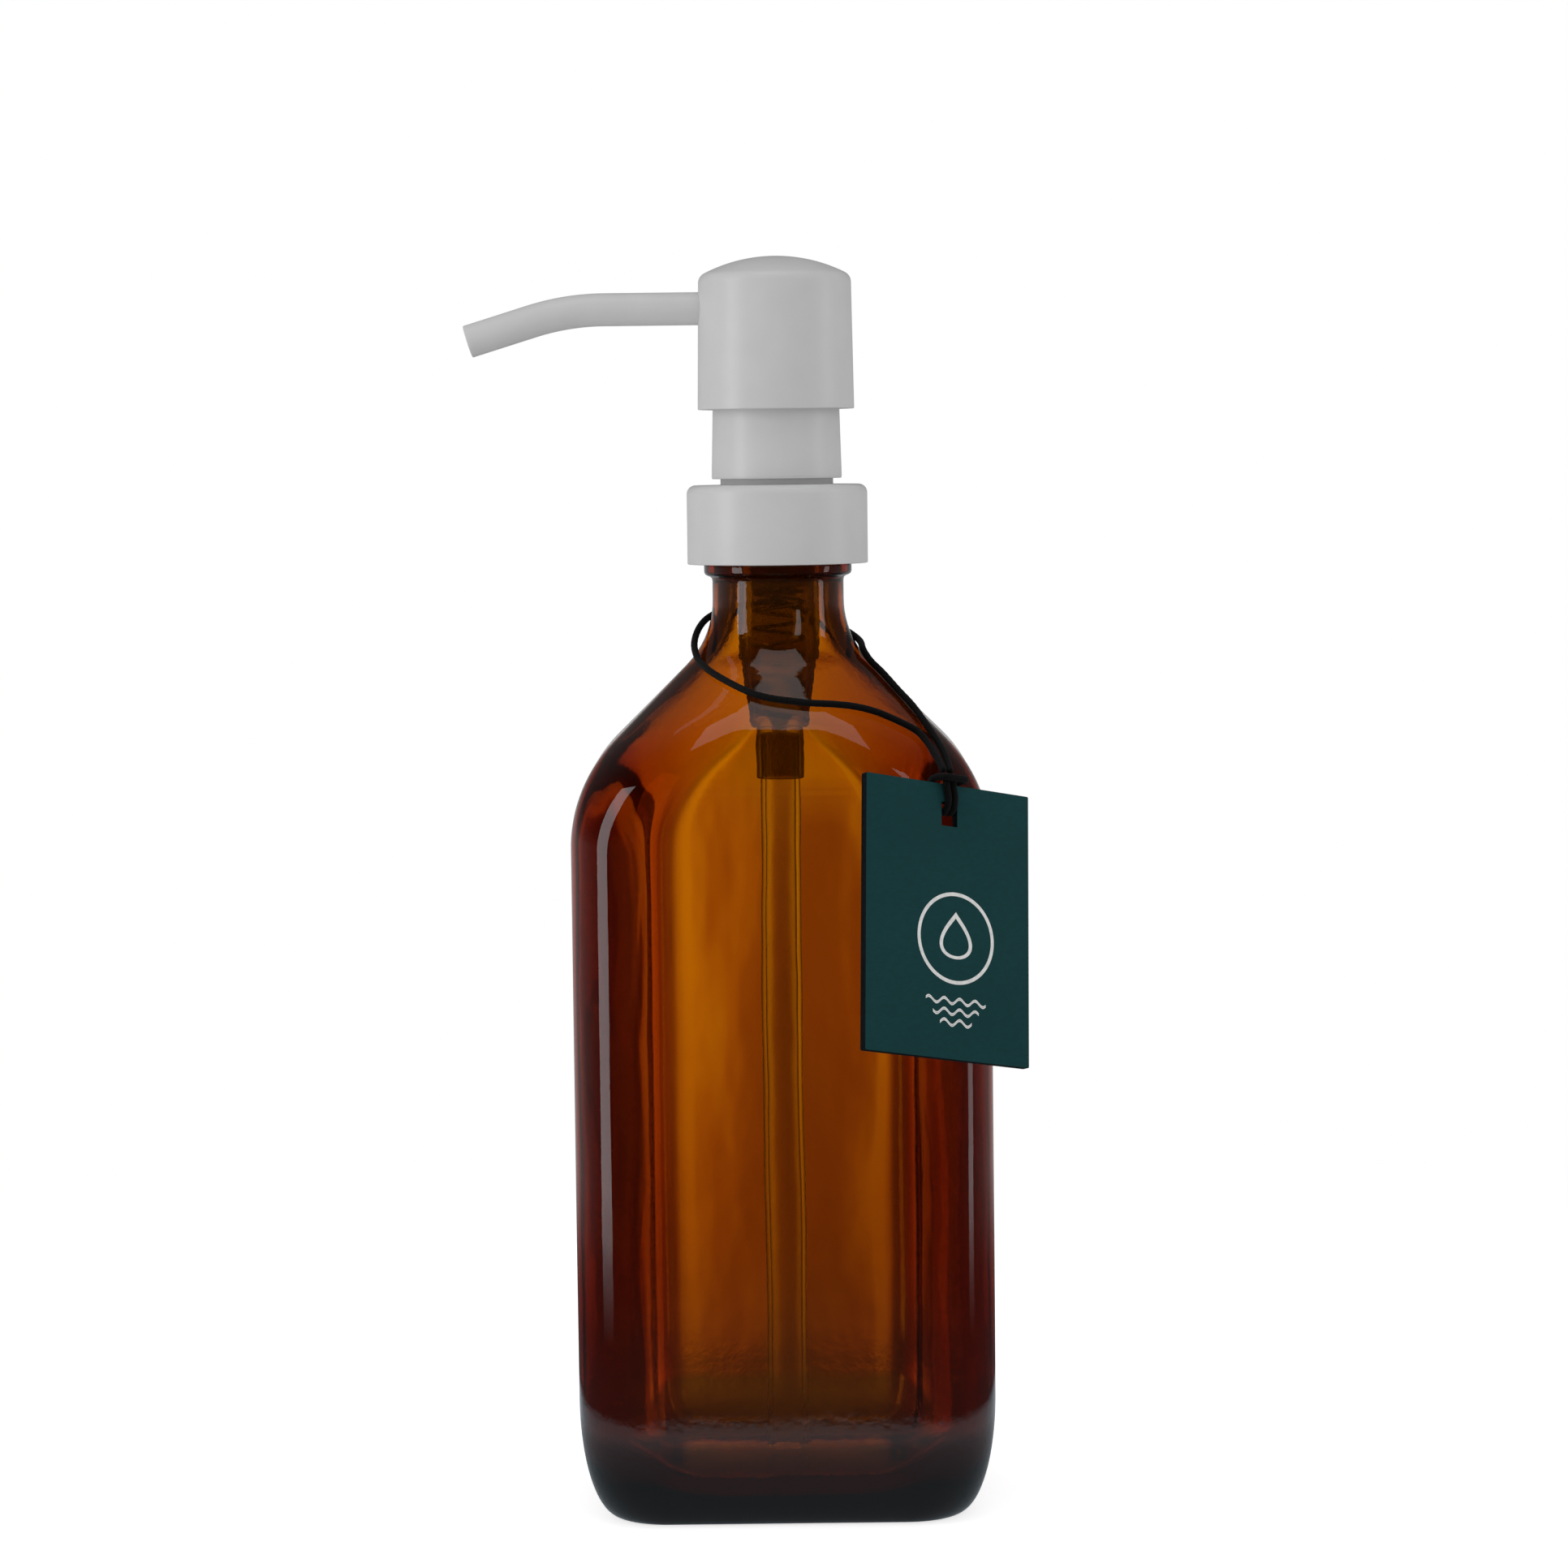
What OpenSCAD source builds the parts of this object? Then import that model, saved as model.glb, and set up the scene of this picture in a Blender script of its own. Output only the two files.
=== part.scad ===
// Soap pump dispenser: a rectangular amber glass bottle with a screw-on lotion
// pump in satin white metal, and a card tag hung round its neck on a thin cord.
// Millimetres. Origin: centre of the underside, on the pump's axis. +Z is up,
// the bottle's front face looks along -Y and the spout points along -X.

/* [Bottle] */
// Width of the body across the flat sides
body_w = 75.6; // [74:0.2:77]
// Depth of the body, front to back
body_d = 60; // [58:0.5:62]
// Radius of the body's upright corners
body_corner = 13; // [11:0.5:14]
// Wall thickness of the glass
wall = 2.8; // [2.4:0.1:2.8]
// Outside radius of the neck
neck_r = 12; // [12:0.1:12.2]
// Height of the root of the neck, where the shoulder's curve ends
neck_z = 166; // [165:0.5:167]
// Height of the mouth
lip_z = 182.6; // [182.6:0.1:182.6]
// Thickness of the glass floor at its middle
floor_z = 6; // [5:0.5:6]

/* [Screw finish] */
// Radius of the finish between its threads
finish_r = 12.35; // [12.2:0.05:12.4]
// Radius over the bottle's thread
thread_r = 13.65; // [13.5:0.05:13.65]
// Rise of the thread in one turn
pitch = 4.233; // [4.233:0.001:4.233]

/* [Pump] */
// Stroke of the press head
stroke = 11; // [8:0.5:11]
// Radius of the pump chamber
chamber_r = 6; // [6:0.1:6]
// Outside radius of the stem
stem_r = 3.9; // [3.9:0.1:3.9]
// Outside radius of the dip tube
dip_r = 3.9; // [3.7:0.05:3.93]
// Height of the dip tube's open end above the table
dip_end_z = 7.3; // [7.3:0.1:12]
// Number of turns in the return spring
spring_turns = 6.5; // [5:0.5:7]

/* [Collar and sleeve] */
// Outside radius of the collar
collar_r = 16.5; // [16.5:0.1:16.8]
// Height of the collar's lower edge
collar_z = 172.4; // [172.4:0.1:173]
// Height of the collar's top
collar_top_z = 186.8; // [186.8:0.1:186.8]
// Thickness of the metal skins
skin = 0.55; // [0.4:0.05:0.55]

/* [Head] */
// Height of the head's lower edge
head_z = 200.5; // [200.3:0.1:200.8]
// Radius of the head at its lower edge
head_r = 14.28; // [14.28:0.01:14.4]
// Height of the top of the dome
head_top_z = 228.3; // [228.3:0.1:228.5]
// Radius of the dome's sphere
dome_r = 28.5; // [28:0.5:30]

/* [Spout] */
// Outside radius of the spout
spout_r = 3; // [2.8:0.1:3]
// Height of the spout's level stretch
spout_z = 218.9; // [218.9:0.1:219]
// Distance from the pump's axis to the start of the bend
spout_reach = 31.2; // [25:0.2:36]
// Centre-line radius of the bend
bend_r = 45; // [30:1:60]
// How far the spout bends down, in degrees
bend_a = 17; // [10:1:25]
// Length of the straight stretch after the bend
tip_len = 12.2; // [10:0.2:14]

/* [Tag] */
// Width of the card tag
tag_w = 35; // [30:1:40]
// Height of the card tag
tag_h = 49; // [45:1:55]
// Thickness of the card
tag_t = 1.6; // [1.2:0.1:1.6]
// Turn of the tag about the upright, in degrees
tag_yaw = 34.5; // [34:0.5:35]
// Backward lean of the tag's top, in degrees
tag_lean = 13.5; // [13:0.5:14]
// Turn of the tag in its own plane, in degrees
tag_roll = 10.5; // [10:0.5:11]
// Diameter of the tag's cord
cord_d = 1.2; // [1:0.1:1.2]

/* [Hidden] */
$fn = 96;
eps = 0.05;

amber = [0.48, 0.22, 0.03, 0.6];
satin_white = [0.8, 0.8, 0.8];
clear_plastic = [0.85, 0.87, 0.88];
white_plastic = [0.93, 0.93, 0.92];
steel = [0.7, 0.71, 0.73];
dark_green = [0.11, 0.235, 0.243];
cord_black = [0.05, 0.05, 0.05];

// Bottle: radii and levels of its outline
side_arc = 26.6;
front_arc = 20;
neck_arc = 17;
side_heel = [7, 22];
front_heel = [5.5, 18];
foot_cut = 0.35;
push_up = 3;
bead_r = 13.5;
bead_z = [170.2, 173.5];
thread_z = 176.2;
thread_turn = 450;
round_from = 122;
round_over = 35;
corner_points = 12;

// Pump: levels of the fixed parts
flange_z = 183.6;
flange_t = 1.2;
flange_r = 12;
seat_z = 144.4;
step_z = 178.1;
ball_r = 2.5;
valve_r = 1.9;
cage_top_z = 149.8;
spring_top_z = 168.5;
hub_r = 6;
hub_z = 208;

// Head: its fillet, and the side wall's radius at the fillet
head_fillet = 2;
head_side_r = 13.93;

// Tag: middle of its top edge on the front face, and its hole
tag_at = [29.7, -30.8, 133.8];
tag_hole = [3.3, 4.2];
tag_hole_at = [0.25, -5.4];

// The cord's route, from one side of the hitch round the neck to the other
cord_route = [
    [28.9, -30.8, 136.2], [28.2, -28.2, 137.6], [27.3, -25.2, 139.2], [26.3, -22.6, 140.8],
    [24.4, -21.2, 142.8], [20.9, -21.4, 144.7], [17.2, -21.8, 146.3], [13.5, -22.5, 147.3],
    [9.8, -23.3, 147.8], [5.4, -23.8, 148.1], [1.7, -23.4, 148.5], [-2.1, -22.8, 149.1],
    [-5.2, -21.75, 150], [-8.4, -19.4, 151.4], [-11.9, -15.1, 153.2], [-13.6, -11.7, 154.4],
    [-14.7, -8.4, 155.5], [-15.4, -3.4, 158], [-14.5, 1.5, 160.8], [-12.3, 6.2, 162.8],
    [-7.6, 10.9, 164.4], [0, 13.2, 165], [6.4, 11.8, 162.8], [11.3, 8.6, 160.4],
    [14.7, 2, 158.2], [15.4, -4.2, 156.6], [16.7, -5, 154.6], [18.9, -6.2, 152.4],
    [21.5, -8.8, 149.5], [24.2, -11.9, 146.6], [26.2, -15.8, 143.8], [27.8, -19.4, 141.4],
    [29, -23, 139.4], [29.7, -26.4, 137.6], [30.1, -30, 135.9]
];

// The lark's head, as [across, out from the front face, up from the top edge]
hitch_route = [
    [-1.1, 0.75, 1], [-0.9, 0.75, -0.6], [-0.5, 0.7, -2.4], [-0.45, 0.35, -4.1],
    [-0.45, -0.8, -4.9], [-0.6, -1.9, -4.5], [-1, -2.3, -3.1], [-1.7, -2.3, -1.1],
    [-2.4, -2, 0.5], [-2.5, -0.9, 1], [-2.4, 0.6, 1], [-1.9, 1.7, 0.9],
    [-1, 2.1, 0.8], [0.3, 2.15, 0.8], [1.6, 2.1, 0.8], [2.5, 1.7, 0.9],
    [2.9, 0.6, 1], [3, -0.9, 1], [2.8, -2, 0.5], [2.2, -2.3, -1.1],
    [1.5, -2.3, -3.1], [1.1, -1.9, -4.5], [0.95, -0.8, -4.9], [0.95, 0.35, -4.1],
    [0.9, 0.7, -2.4], [0.55, 0.75, -0.6], [0.35, 0.75, 1]
];

function unit(v) = v / norm(v);
function clamp(v, low, high) = min(max(v, low), high);

// Points of an arc in a plane, from angle a to angle b
function arc(c, r, a, b, n) = [
    for (i = [0:n]) let (t = a + (b - a) * i / n) [c.x + r * cos(t), c.y + r * sin(t)]
];

// Faces that join n rings of s points each and close both ends
function ring_faces(n, s) = concat(
    [for (i = [0:n - 2], j = [0:s - 1])
        [i * s + j, (i + 1) * s + j, (i + 1) * s + (j + 1) % s, i * s + (j + 1) % s]],
    [[for (j = [0:s - 1]) j]],
    [[for (j = [0:s - 1]) n * s - 1 - j]]
);

module ring_solid(rings) {
    polyhedron(
        points = [for (ring = rings, p = ring) p],
        faces = ring_faces(len(rings), len(rings[0]))
    );
}

// A smooth line through route points, with k steps from each to the next
function smooth(p, k) = concat(
    [for (i = [0:len(p) - 2], j = [0:k - 1])
        let (
            t = j / k,
            a = p[max(i - 1, 0)],
            b = p[i],
            c = p[i + 1],
            d = p[min(i + 2, len(p) - 1)]
        )
        b + 0.5 * t * ((c - a) + t * ((2 * a - 5 * b + 4 * c - d) + t * (3 * b - a - 3 * c + d)))],
    [p[len(p) - 1]]
);

// Unit tangents of a line, and a side direction carried along it
function tangents(p) = [
    for (i = [0:len(p) - 1]) unit(p[min(i + 1, len(p) - 1)] - p[max(i - 1, 0)])
];
function carried(t, i, side) = i == len(t) ? [] :
    let (s = unit(side - t[i] * (side * t[i]))) concat([s], carried(t, i + 1, s));

// A round tube along a line
module cord_along(line, r, sides, side) {
    t = tangents(line);
    s = carried(t, 0, side);
    ring_solid([
        for (i = [0:len(line) - 1])
            [for (j = [0:sides - 1])
                let (a = 360 * j / sides)
                line[i] + r * (cos(a) * s[i] + sin(a) * cross(t[i], s[i]))]
    ]);
}

// The bottle's shoulder: half a width h above height z, for an outline that
// curves in by radius big, slopes at 45 degrees and curves up into the neck.
// skin_in is how far the outline lies inside the glass.
function shoulder(z, h, big, skin_in) =
    let (
        lost = 1 - cos(45),
        r1 = big - skin_in,
        r2 = neck_arc + skin_in,
        wide = h - skin_in,
        narrow = neck_r - skin_in,
        z2 = neck_z - r2 * sin(45),
        z1 = z2 - (wide - r1 * lost - narrow - r2 * lost),
        z0 = z1 - r1 * sin(45)
    )
    z <= z0 ? wide :
    z < z1 ? wide - r1 + sqrt(r1 * r1 - (z - z0) * (z - z0)) :
    z < z2 ? wide - r1 * lost - (z - z1) :
    z < neck_z ? narrow + r2 - sqrt(r2 * r2 - (neck_z - z) * (neck_z - z)) :
    narrow;

// How much of the body's corner radius is left at height z
function squareness(z) = 1 - pow(clamp((z - round_from) / round_over, 0, 1), 1.5);

// One level of the bottle: a rounded rectangle of half sizes a and b
function level(z, a, b, corner) = [
    for (q = [0:3], i = [0:corner_points - 1])
        let (
            t = 90 * q + 90 * (i + 0.5) / corner_points,
            sx = (q == 0 || q == 3) ? 1 : -1,
            sy = q < 2 ? 1 : -1
        )
        [sx * (a - corner) + corner * cos(t), sy * (b - corner) + corner * sin(t), z]
];

function shoulder_level(z, skin_in) =
    let (
        a = shoulder(z, body_w / 2, side_arc, skin_in),
        b = shoulder(z, body_d / 2, front_arc, skin_in),
        least = min(a, b),
        corner = least - (least - body_corner + skin_in) * squareness(z)
    )
    level(z, a, b, corner);

// A level of the heel, where the walls curve in to the foot
function heel_level(z) =
    let (
        in_x = side_heel.x * (1 - sqrt(1 - pow(clamp(1 - z / side_heel.y, 0, 1), 2))),
        in_y = front_heel.x * (1 - sqrt(1 - pow(clamp(1 - z / front_heel.y, 0, 1), 2)))
    )
    level(z, body_w / 2 - in_x, body_d / 2 - in_y, body_corner - 0.6 * min(in_x, in_y));

// A level of the inside heel, t degrees round its curve
inner_heel = [9, 12];
function inner_heel_level(t) = level(
    floor_z - 0.5 + inner_heel.y * (1 - cos(t)),
    body_w / 2 - wall - inner_heel.x * (1 - sin(t)),
    body_d / 2 - wall - inner_heel.x * (1 - sin(t)),
    body_corner - wall - 2 * (1 - sin(t))
);

// A round level of the neck, and one that carries the thread
function round_level(z, r) = level(z, r, r, r);
function thread_rise(z, a) = max([
    for (turn = [0, 1])
        let (
            run = a + 360 * turn,
            off = abs(z - thread_z - pitch * run / 360),
            ends = clamp(min(run, thread_turn - run) / 30, 0, 1)
        )
        ends * clamp((1.2 - off) / 0.75, 0, 1)
]);
function thread_level(z) = [
    for (i = [0:4 * corner_points - 1])
        let (
            t = 90 * (i + 0.5) / corner_points,
            r = finish_r + (thread_r - finish_r) * thread_rise(z, t)
        )
        [r * cos(t), r * sin(t), z]
];

module glass_bottle() {
    foot_x = body_w / 2 - side_heel.x;
    foot_y = body_d / 2 - front_heel.x;
    mouth_r = neck_r - wall;
    color(amber)
        difference() {
            ring_solid(concat(
                [
                    level(push_up, 8, 6, 5),
                    level(push_up - 0.4, 15, 11, 7),
                    level(push_up - 1.4, 20.5, 15.5, 7.5),
                    level(0.4, foot_x - 6, foot_y - 5.5, 8),
                    level(-foot_cut, foot_x - 4.6, foot_y - 4.1, 8.5),
                    level(-foot_cut, foot_x - 1.2, foot_y - 1, 9)
                ],
                [for (t = [0, 9, 18, 27, 37, 47, 58, 70, 80]) heel_level(side_heel.y * (1 - cos(t)))],
                [heel_level(side_heel.y)],
                [for (z = [round_from:2:neck_z - 1]) shoulder_level(z, 0)],
                [
                    round_level(neck_z, neck_r),
                    round_level(bead_z[0] - 0.5, neck_r),
                    round_level(bead_z[0], neck_r + 0.5),
                    round_level(bead_z[0] + 0.3, bead_r - 0.3),
                    round_level(bead_z[0] + 0.8, bead_r),
                    round_level(bead_z[1] - 0.7, bead_r),
                    round_level(bead_z[1] - 0.2, bead_r - 0.4),
                    round_level(bead_z[1], finish_r)
                ],
                [for (z = [bead_z[1] + 0.5:0.5:lip_z - 0.8]) thread_level(z)],
                [
                    round_level(lip_z - 0.6, finish_r),
                    round_level(lip_z - 0.15, finish_r - 0.25),
                    round_level(lip_z, finish_r - 0.7),
                    round_level(lip_z, mouth_r + 0.7),
                    round_level(lip_z - 0.15, mouth_r + 0.25),
                    round_level(lip_z - 0.7, mouth_r)
                ],
                [round_level(neck_z, mouth_r)],
                [for (z = [neck_z - 2:-3:round_from]) shoulder_level(z, wall)],
                [for (t = [90, 75, 60, 45, 30, 15, 0]) inner_heel_level(t)],
                [level(floor_z, 8, 6, 5)]
            ));
            translate([-body_w, -body_d, -5])
                cube([2 * body_w, 2 * body_d, 5]);
        }
}

module collar_shell() {
    edge = 1.6;
    c = [collar_r - edge, collar_top_z - edge];
    hole_r = 10.7;
    color(satin_white)
        rotate_extrude()
            polygon(concat(
                [[collar_r - skin, collar_z], [collar_r, collar_z]],
                arc(c, edge, 0, 90, 8),
                [[hole_r, collar_top_z], [hole_r, collar_top_z - skin]],
                arc(c, edge - skin, 90, 0, 8)
            ));
}

module collar_insert() {
    out_r = collar_r - skin - eps;
    in_r = 10.6;
    root_r = 14;
    crest_r = 13;
    rib = [0.4, 1.1];
    bevel = 1.1;
    foot_z = collar_z + 0.5;
    under_z = flange_z + flange_t + 0.15;
    top_z = collar_top_z - skin - eps;
    thread_low = 1.7;
    thread_from = 60;
    thread_for = 330;
    steps = 30;
    color(white_plastic)
        union() {
            rotate_extrude()
                polygon([
                    [root_r, foot_z], [out_r, foot_z], [out_r, top_z - bevel],
                    [out_r - bevel, top_z], [in_r, top_z], [in_r, under_z], [root_r, under_z]
                ]);
            ring_solid([
                for (i = [0:steps])
                    let (
                        a = thread_from + thread_for * i / steps,
                        z = thread_z - thread_low + pitch * a / 360,
                        deep_r = root_r + rib[0]
                    )
                    [for (p = [[deep_r, -rib[1]], [crest_r, -rib[0]], [crest_r, rib[0]], [deep_r, rib[1]]])
                        [p.x * cos(a), p.x * sin(a), z + p.y]]
            ]);
        }
}

module neck_gasket() {
    in_r = 7.45;
    out_r = 12.4;
    color(white_plastic)
        rotate_extrude()
            translate([in_r, lip_z + eps])
                square([out_r - in_r, flange_z - lip_z - 2 * eps]);
}

module pump_housing() {
    mouth_r = 6.5;
    upper_r = 7.35;
    lower_r = 6.9;
    waist_z = [153.3, 153.7];
    nose_r = lower_r - 1.5;
    socket_r = 4.6;
    socket_z = [133.1, 142.9];
    bore_r = dip_r + eps;
    stop_z = 141.6;
    inlet_r = 1.6;
    seat_r = 3.4;
    top_z = flange_z + flange_t;
    color(clear_plastic)
        rotate_extrude()
            polygon([
                [mouth_r, top_z], [flange_r, top_z], [flange_r, flange_z], [upper_r, flange_z],
                [upper_r, waist_z[1]], [lower_r, waist_z[0]], [lower_r, seat_z],
                [nose_r, socket_z[1]], [socket_r, socket_z[1]], [socket_r, socket_z[0]],
                [bore_r, socket_z[0]], [bore_r, stop_z], [inlet_r, stop_z],
                [inlet_r, seat_z - seat_r + inlet_r], [seat_r, seat_z], [chamber_r, seat_z],
                [chamber_r, step_z], [mouth_r, step_z]
            ]);
}

module dip_tube() {
    top_z = 141.5;
    tube_wall = 1;
    length = top_z - dip_end_z;
    color(clear_plastic)
        translate([0, 0, dip_end_z])
            difference() {
                cylinder(r = dip_r, h = length);
                translate([0, 0, -1])
                    cylinder(r = dip_r - tube_wall, h = length + 2);
            }
}

module inlet_ball() {
    lift = 0.24;
    color(steel)
        translate([0, 0, seat_z + lift])
            sphere(r = ball_r);
}

module ball_retainer() {
    room_r = ball_r + 0.3;
    room_h = 4.4;
    hole_r = 1.7;
    slot = [9.4, 1.6, 20];
    slot_z = 0.8;
    color(white_plastic)
        translate([0, 0, seat_z])
            difference() {
                cylinder(r = chamber_r - 0.1, h = cage_top_z - seat_z);
                translate([0, 0, -1])
                    cylinder(r = room_r, h = room_h + 1);
                cylinder(r = hole_r, h = 2 * room_h);
                for (a = [45, 135])
                    rotate([0, 0, a])
                        translate([-slot.x / 2, -slot.y / 2, slot_z])
                            cube(slot);
            }
}

module return_spring() {
    wire_r = 0.4;
    coil_r = 4.5;
    low = cage_top_z + wire_r + eps;
    high = spring_top_z - wire_r - eps;
    ends = 2.2 * wire_r;
    steps = 20;
    line = [
        for (i = [0:steps * spring_turns])
            let (
                turn = i / steps,
                z = lookup(turn, [
                    [0, low], [1, low + ends], [spring_turns - 1, high - ends], [spring_turns, high]
                ])
            )
            [coil_r * cos(360 * turn), coil_r * sin(360 * turn), z]
    ];
    color(steel)
        cord_along(line, wire_r, 6, [1, 0, 0]);
}

module stem_tip() {
    foot_r = 3.2;
    foot_z = 166.7;
    rim_r = 5.2;
    rim_z = 169.9;
    plug_r = 2.15;
    plug_z = 175.9;
    bore_r = 1.2;
    bore_z = 170.3;
    seat = 0.8;
    port_r = 0.6;
    port_z = 170.75;
    port_len = 8;
    color(white_plastic)
        difference() {
            rotate_extrude()
                polygon([
                    [0, foot_z], [foot_r, foot_z], [foot_r, spring_top_z], [rim_r, spring_top_z],
                    [rim_r, rim_z], [plug_r, rim_z], [plug_r, plug_z], [bore_r + seat, plug_z],
                    [bore_r, plug_z - seat], [bore_r, bore_z], [0, bore_z]
                ]);
            translate([-port_len / 2, 0, port_z])
                rotate([0, 90, 0])
                    cylinder(r = port_r, h = port_len, $fn = 48);
        }
}

module piston_seal() {
    lip_r = chamber_r - 0.05;
    edge_r = 5.4;
    waist_r = 5.2;
    bore_r = stem_r + 0.06;
    low = [170.1, 170.5, 171.4, 172.4];
    high = [177.9, 177.5, 176.6, 175.6];
    color(white_plastic)
        rotate_extrude()
            polygon([
                [bore_r, low[0]], [edge_r, low[0]], [lip_r, low[1]], [lip_r, low[2]],
                [waist_r, low[3]], [waist_r, high[3]], [lip_r, high[2]], [lip_r, high[1]],
                [edge_r, high[0]], [bore_r, high[0]]
            ]);
}

module pump_stem() {
    foot_z = 171.5;
    top_z = 215.55;
    wide_r = 2.2;
    bore_r = 1.6;
    narrow_z = 179.9;
    color(white_plastic)
        rotate_extrude()
            polygon([
                [wide_r, foot_z], [stem_r, foot_z], [stem_r, top_z], [bore_r, top_z],
                [bore_r, narrow_z + wide_r - bore_r], [wide_r, narrow_z]
            ]);
}

module discharge_ball() {
    rest_z = 176.67;
    color(steel)
        translate([0, 0, rest_z])
            sphere(r = valve_r);
}

module chaplet() {
    bore_r = 3.98;
    plug_r = 6.45;
    plug_z = 178.2;
    disc_r = 10.3;
    disc_z = [184.85, 187.95];
    skirt_r = [11.3, 10.97];
    groove_r = [8.2, 10.2];
    groove_z = 190;
    post_r = 6.8;
    top_z = 202.6;
    well_z = hub_z - stroke - 1.5;
    color(satin_white)
        rotate_extrude()
            polygon([
                [bore_r, plug_z], [plug_r, plug_z], [plug_r, disc_z[0]], [disc_r, disc_z[0]],
                [disc_r, disc_z[1]], [skirt_r[0], disc_z[1]], [skirt_r[1], top_z],
                [groove_r[1], top_z], [groove_r[1], groove_z], [groove_r[0], groove_z],
                [groove_r[0], top_z], [post_r, top_z], [post_r, well_z], [bore_r, well_z]
            ]);
}

module guide_sleeve() {
    foot_z = 187.9;
    foot_r = [11.35, 11.7, 11.85];
    lip = 0.3;
    top_z = 203.2;
    top_r = [11.02, 11.5];
    color(satin_white)
        rotate_extrude()
            polygon([
                [foot_r[0], foot_z], [foot_r[1], foot_z], [foot_r[2], foot_z + lip],
                [top_r[1], top_z], [top_r[0], top_z]
            ]);
}

module head_core() {
    disc_z = [214.6, 216.6];
    foot_z = head_z + 0.7;
    cup_r = [12.25, 12.1];
    skirt_r = [13.6, 13.2];
    skirt_z = 222.5;
    core_z = 224.3;
    arm_r = 4.2;
    arm_len = 12.3;
    rib = [arm_len, 1.2, 6.5];
    socket_z = 215.6;
    pass_r = 1.6;
    pipe_end = 7;
    liner_r = 2.57;
    liner_end = 5.2;
    slack = 0.02;
    color(white_plastic)
        difference() {
            union() {
                rotate_extrude()
                    polygon([
                        [0, hub_z], [hub_r, hub_z], [hub_r, disc_z[0]], [cup_r[0], disc_z[0]],
                        [cup_r[0], foot_z], [skirt_r[0], foot_z], [skirt_r[1], skirt_z],
                        [cup_r[1], skirt_z], [cup_r[1], disc_z[1]], [hub_r, disc_z[1]],
                        [hub_r, core_z], [0, core_z]
                    ]);
                translate([-arm_len, 0, spout_z])
                    rotate([0, 90, 0])
                        cylinder(r = arm_r, h = arm_len);
                for (a = [90, 270, 0])
                    rotate([0, 0, a])
                        translate([0, -rib.y / 2, disc_z[0] + 1])
                            cube(rib);
            }
            translate([0, 0, hub_z - 1])
                cylinder(r = stem_r + slack, h = socket_z - hub_z + 1);
            cylinder(r = pass_r, h = spout_z);
            translate([-2 * pipe_end, 0, spout_z])
                rotate([0, 90, 0])
                    cylinder(r = spout_r + slack, h = pipe_end);
            translate([-pipe_end - 1, 0, spout_z])
                rotate([0, 90, 0])
                    cylinder(r = liner_r, h = pipe_end + 1 - liner_end);
            translate([-liner_end - 0.8, 0, spout_z])
                rotate([0, 90, 0])
                    cylinder(r = pass_r, h = pipe_end);
        }
}

module head_shell() {
    side = [head_side_r - head_fillet, 0];
    reach = dome_r - head_fillet;
    dome_c = [0, head_top_z - dome_r];
    fillet_c = [side.x, dome_c.y + sqrt(reach * reach - side.x * side.x)];
    turn = atan2(fillet_c.y - dome_c.y, fillet_c.x);
    lip = [0.12, 0.15];
    hole_r = spout_r + 0.04;
    hole_from = 20;
    hole_to = 5;
    color(satin_white)
        difference() {
            rotate_extrude()
                polygon(concat(
                    [[head_r - skin, head_z], [head_r - lip.x, head_z], [head_r, head_z + lip.y]],
                    arc(fillet_c, head_fillet, 0, turn, 8),
                    arc(dome_c, dome_r, turn + 3, 90, 12),
                    arc(dome_c, dome_r - skin, 90, turn + 3, 12),
                    arc(fillet_c, head_fillet - skin, turn, 0, 8)
                ));
            translate([-hole_from, 0, spout_z])
                rotate([0, 90, 0])
                    cylinder(r = hole_r, h = hole_from - hole_to);
        }
}

// The spout's bent rod of radius r, from x = -start, short of the tip by cut.
// The last stretch starts just inside the bend and is a hair thinner.
module spout_rod(r, start, cut) {
    seam = 0.3;
    seam_step = 0.02;
    translate([-start, 0, spout_z])
        rotate([0, -90, 0])
            cylinder(r = r, h = spout_reach - start);
    translate([-spout_reach, 0, spout_z - bend_r])
        rotate([90, 0, 0])
            rotate([0, 0, 90]) {
                rotate_extrude(angle = bend_a)
                    translate([bend_r, 0])
                        circle(r = r);
                rotate([0, 0, bend_a])
                    translate([bend_r, -seam, 0])
                        rotate([-90, 0, 0])
                            cylinder(r = r - seam_step, h = tip_len + seam - cut);
            }
}

module spout_tube() {
    tube_from = 7.05;
    tube_wall = 0.4;
    color(satin_white)
        difference() {
            spout_rod(spout_r, tube_from, 0);
            spout_rod(spout_r - tube_wall, tube_from - 1.05, -1);
        }
}

module spout_liner() {
    liner_from = 5.25;
    liner_r = spout_r - 0.45;
    bore_r = 1.77;
    short_by = 0.6;
    color(white_plastic)
        difference() {
            spout_rod(liner_r, liner_from, short_by);
            spout_rod(bore_r, liner_from - 1.25, -1);
        }
}

module hang_tag() {
    color(dark_green)
        translate(tag_at)
            rotate([0, 0, tag_yaw])
                rotate([-tag_lean, 0, 0])
                    rotate([0, tag_roll, 0])
                        difference() {
                            translate([-tag_w / 2, 0, -tag_h])
                                cube([tag_w, tag_t, tag_h]);
                            translate([
                                tag_hole_at.x - tag_hole.x / 2, -1, tag_hole_at.y - tag_hole.y / 2
                            ])
                                cube([tag_hole.x, tag_t + 2, tag_hole.y]);
                        }
}

module tag_hitch() {
    line = smooth([for (p = hitch_route) [p.x, -p.y, p.z]], 2);
    color(cord_black)
        translate(tag_at)
            rotate([0, 0, tag_yaw])
                rotate([-tag_lean, 0, 0])
                    rotate([0, tag_roll, 0])
                        cord_along(line, cord_d / 2, 8, [1, 0, 0]);
}

module tag_cord() {
    color(cord_black)
        cord_along(smooth(cord_route, 2), cord_d / 2, 8, [0, 0, 1]);
}

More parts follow.
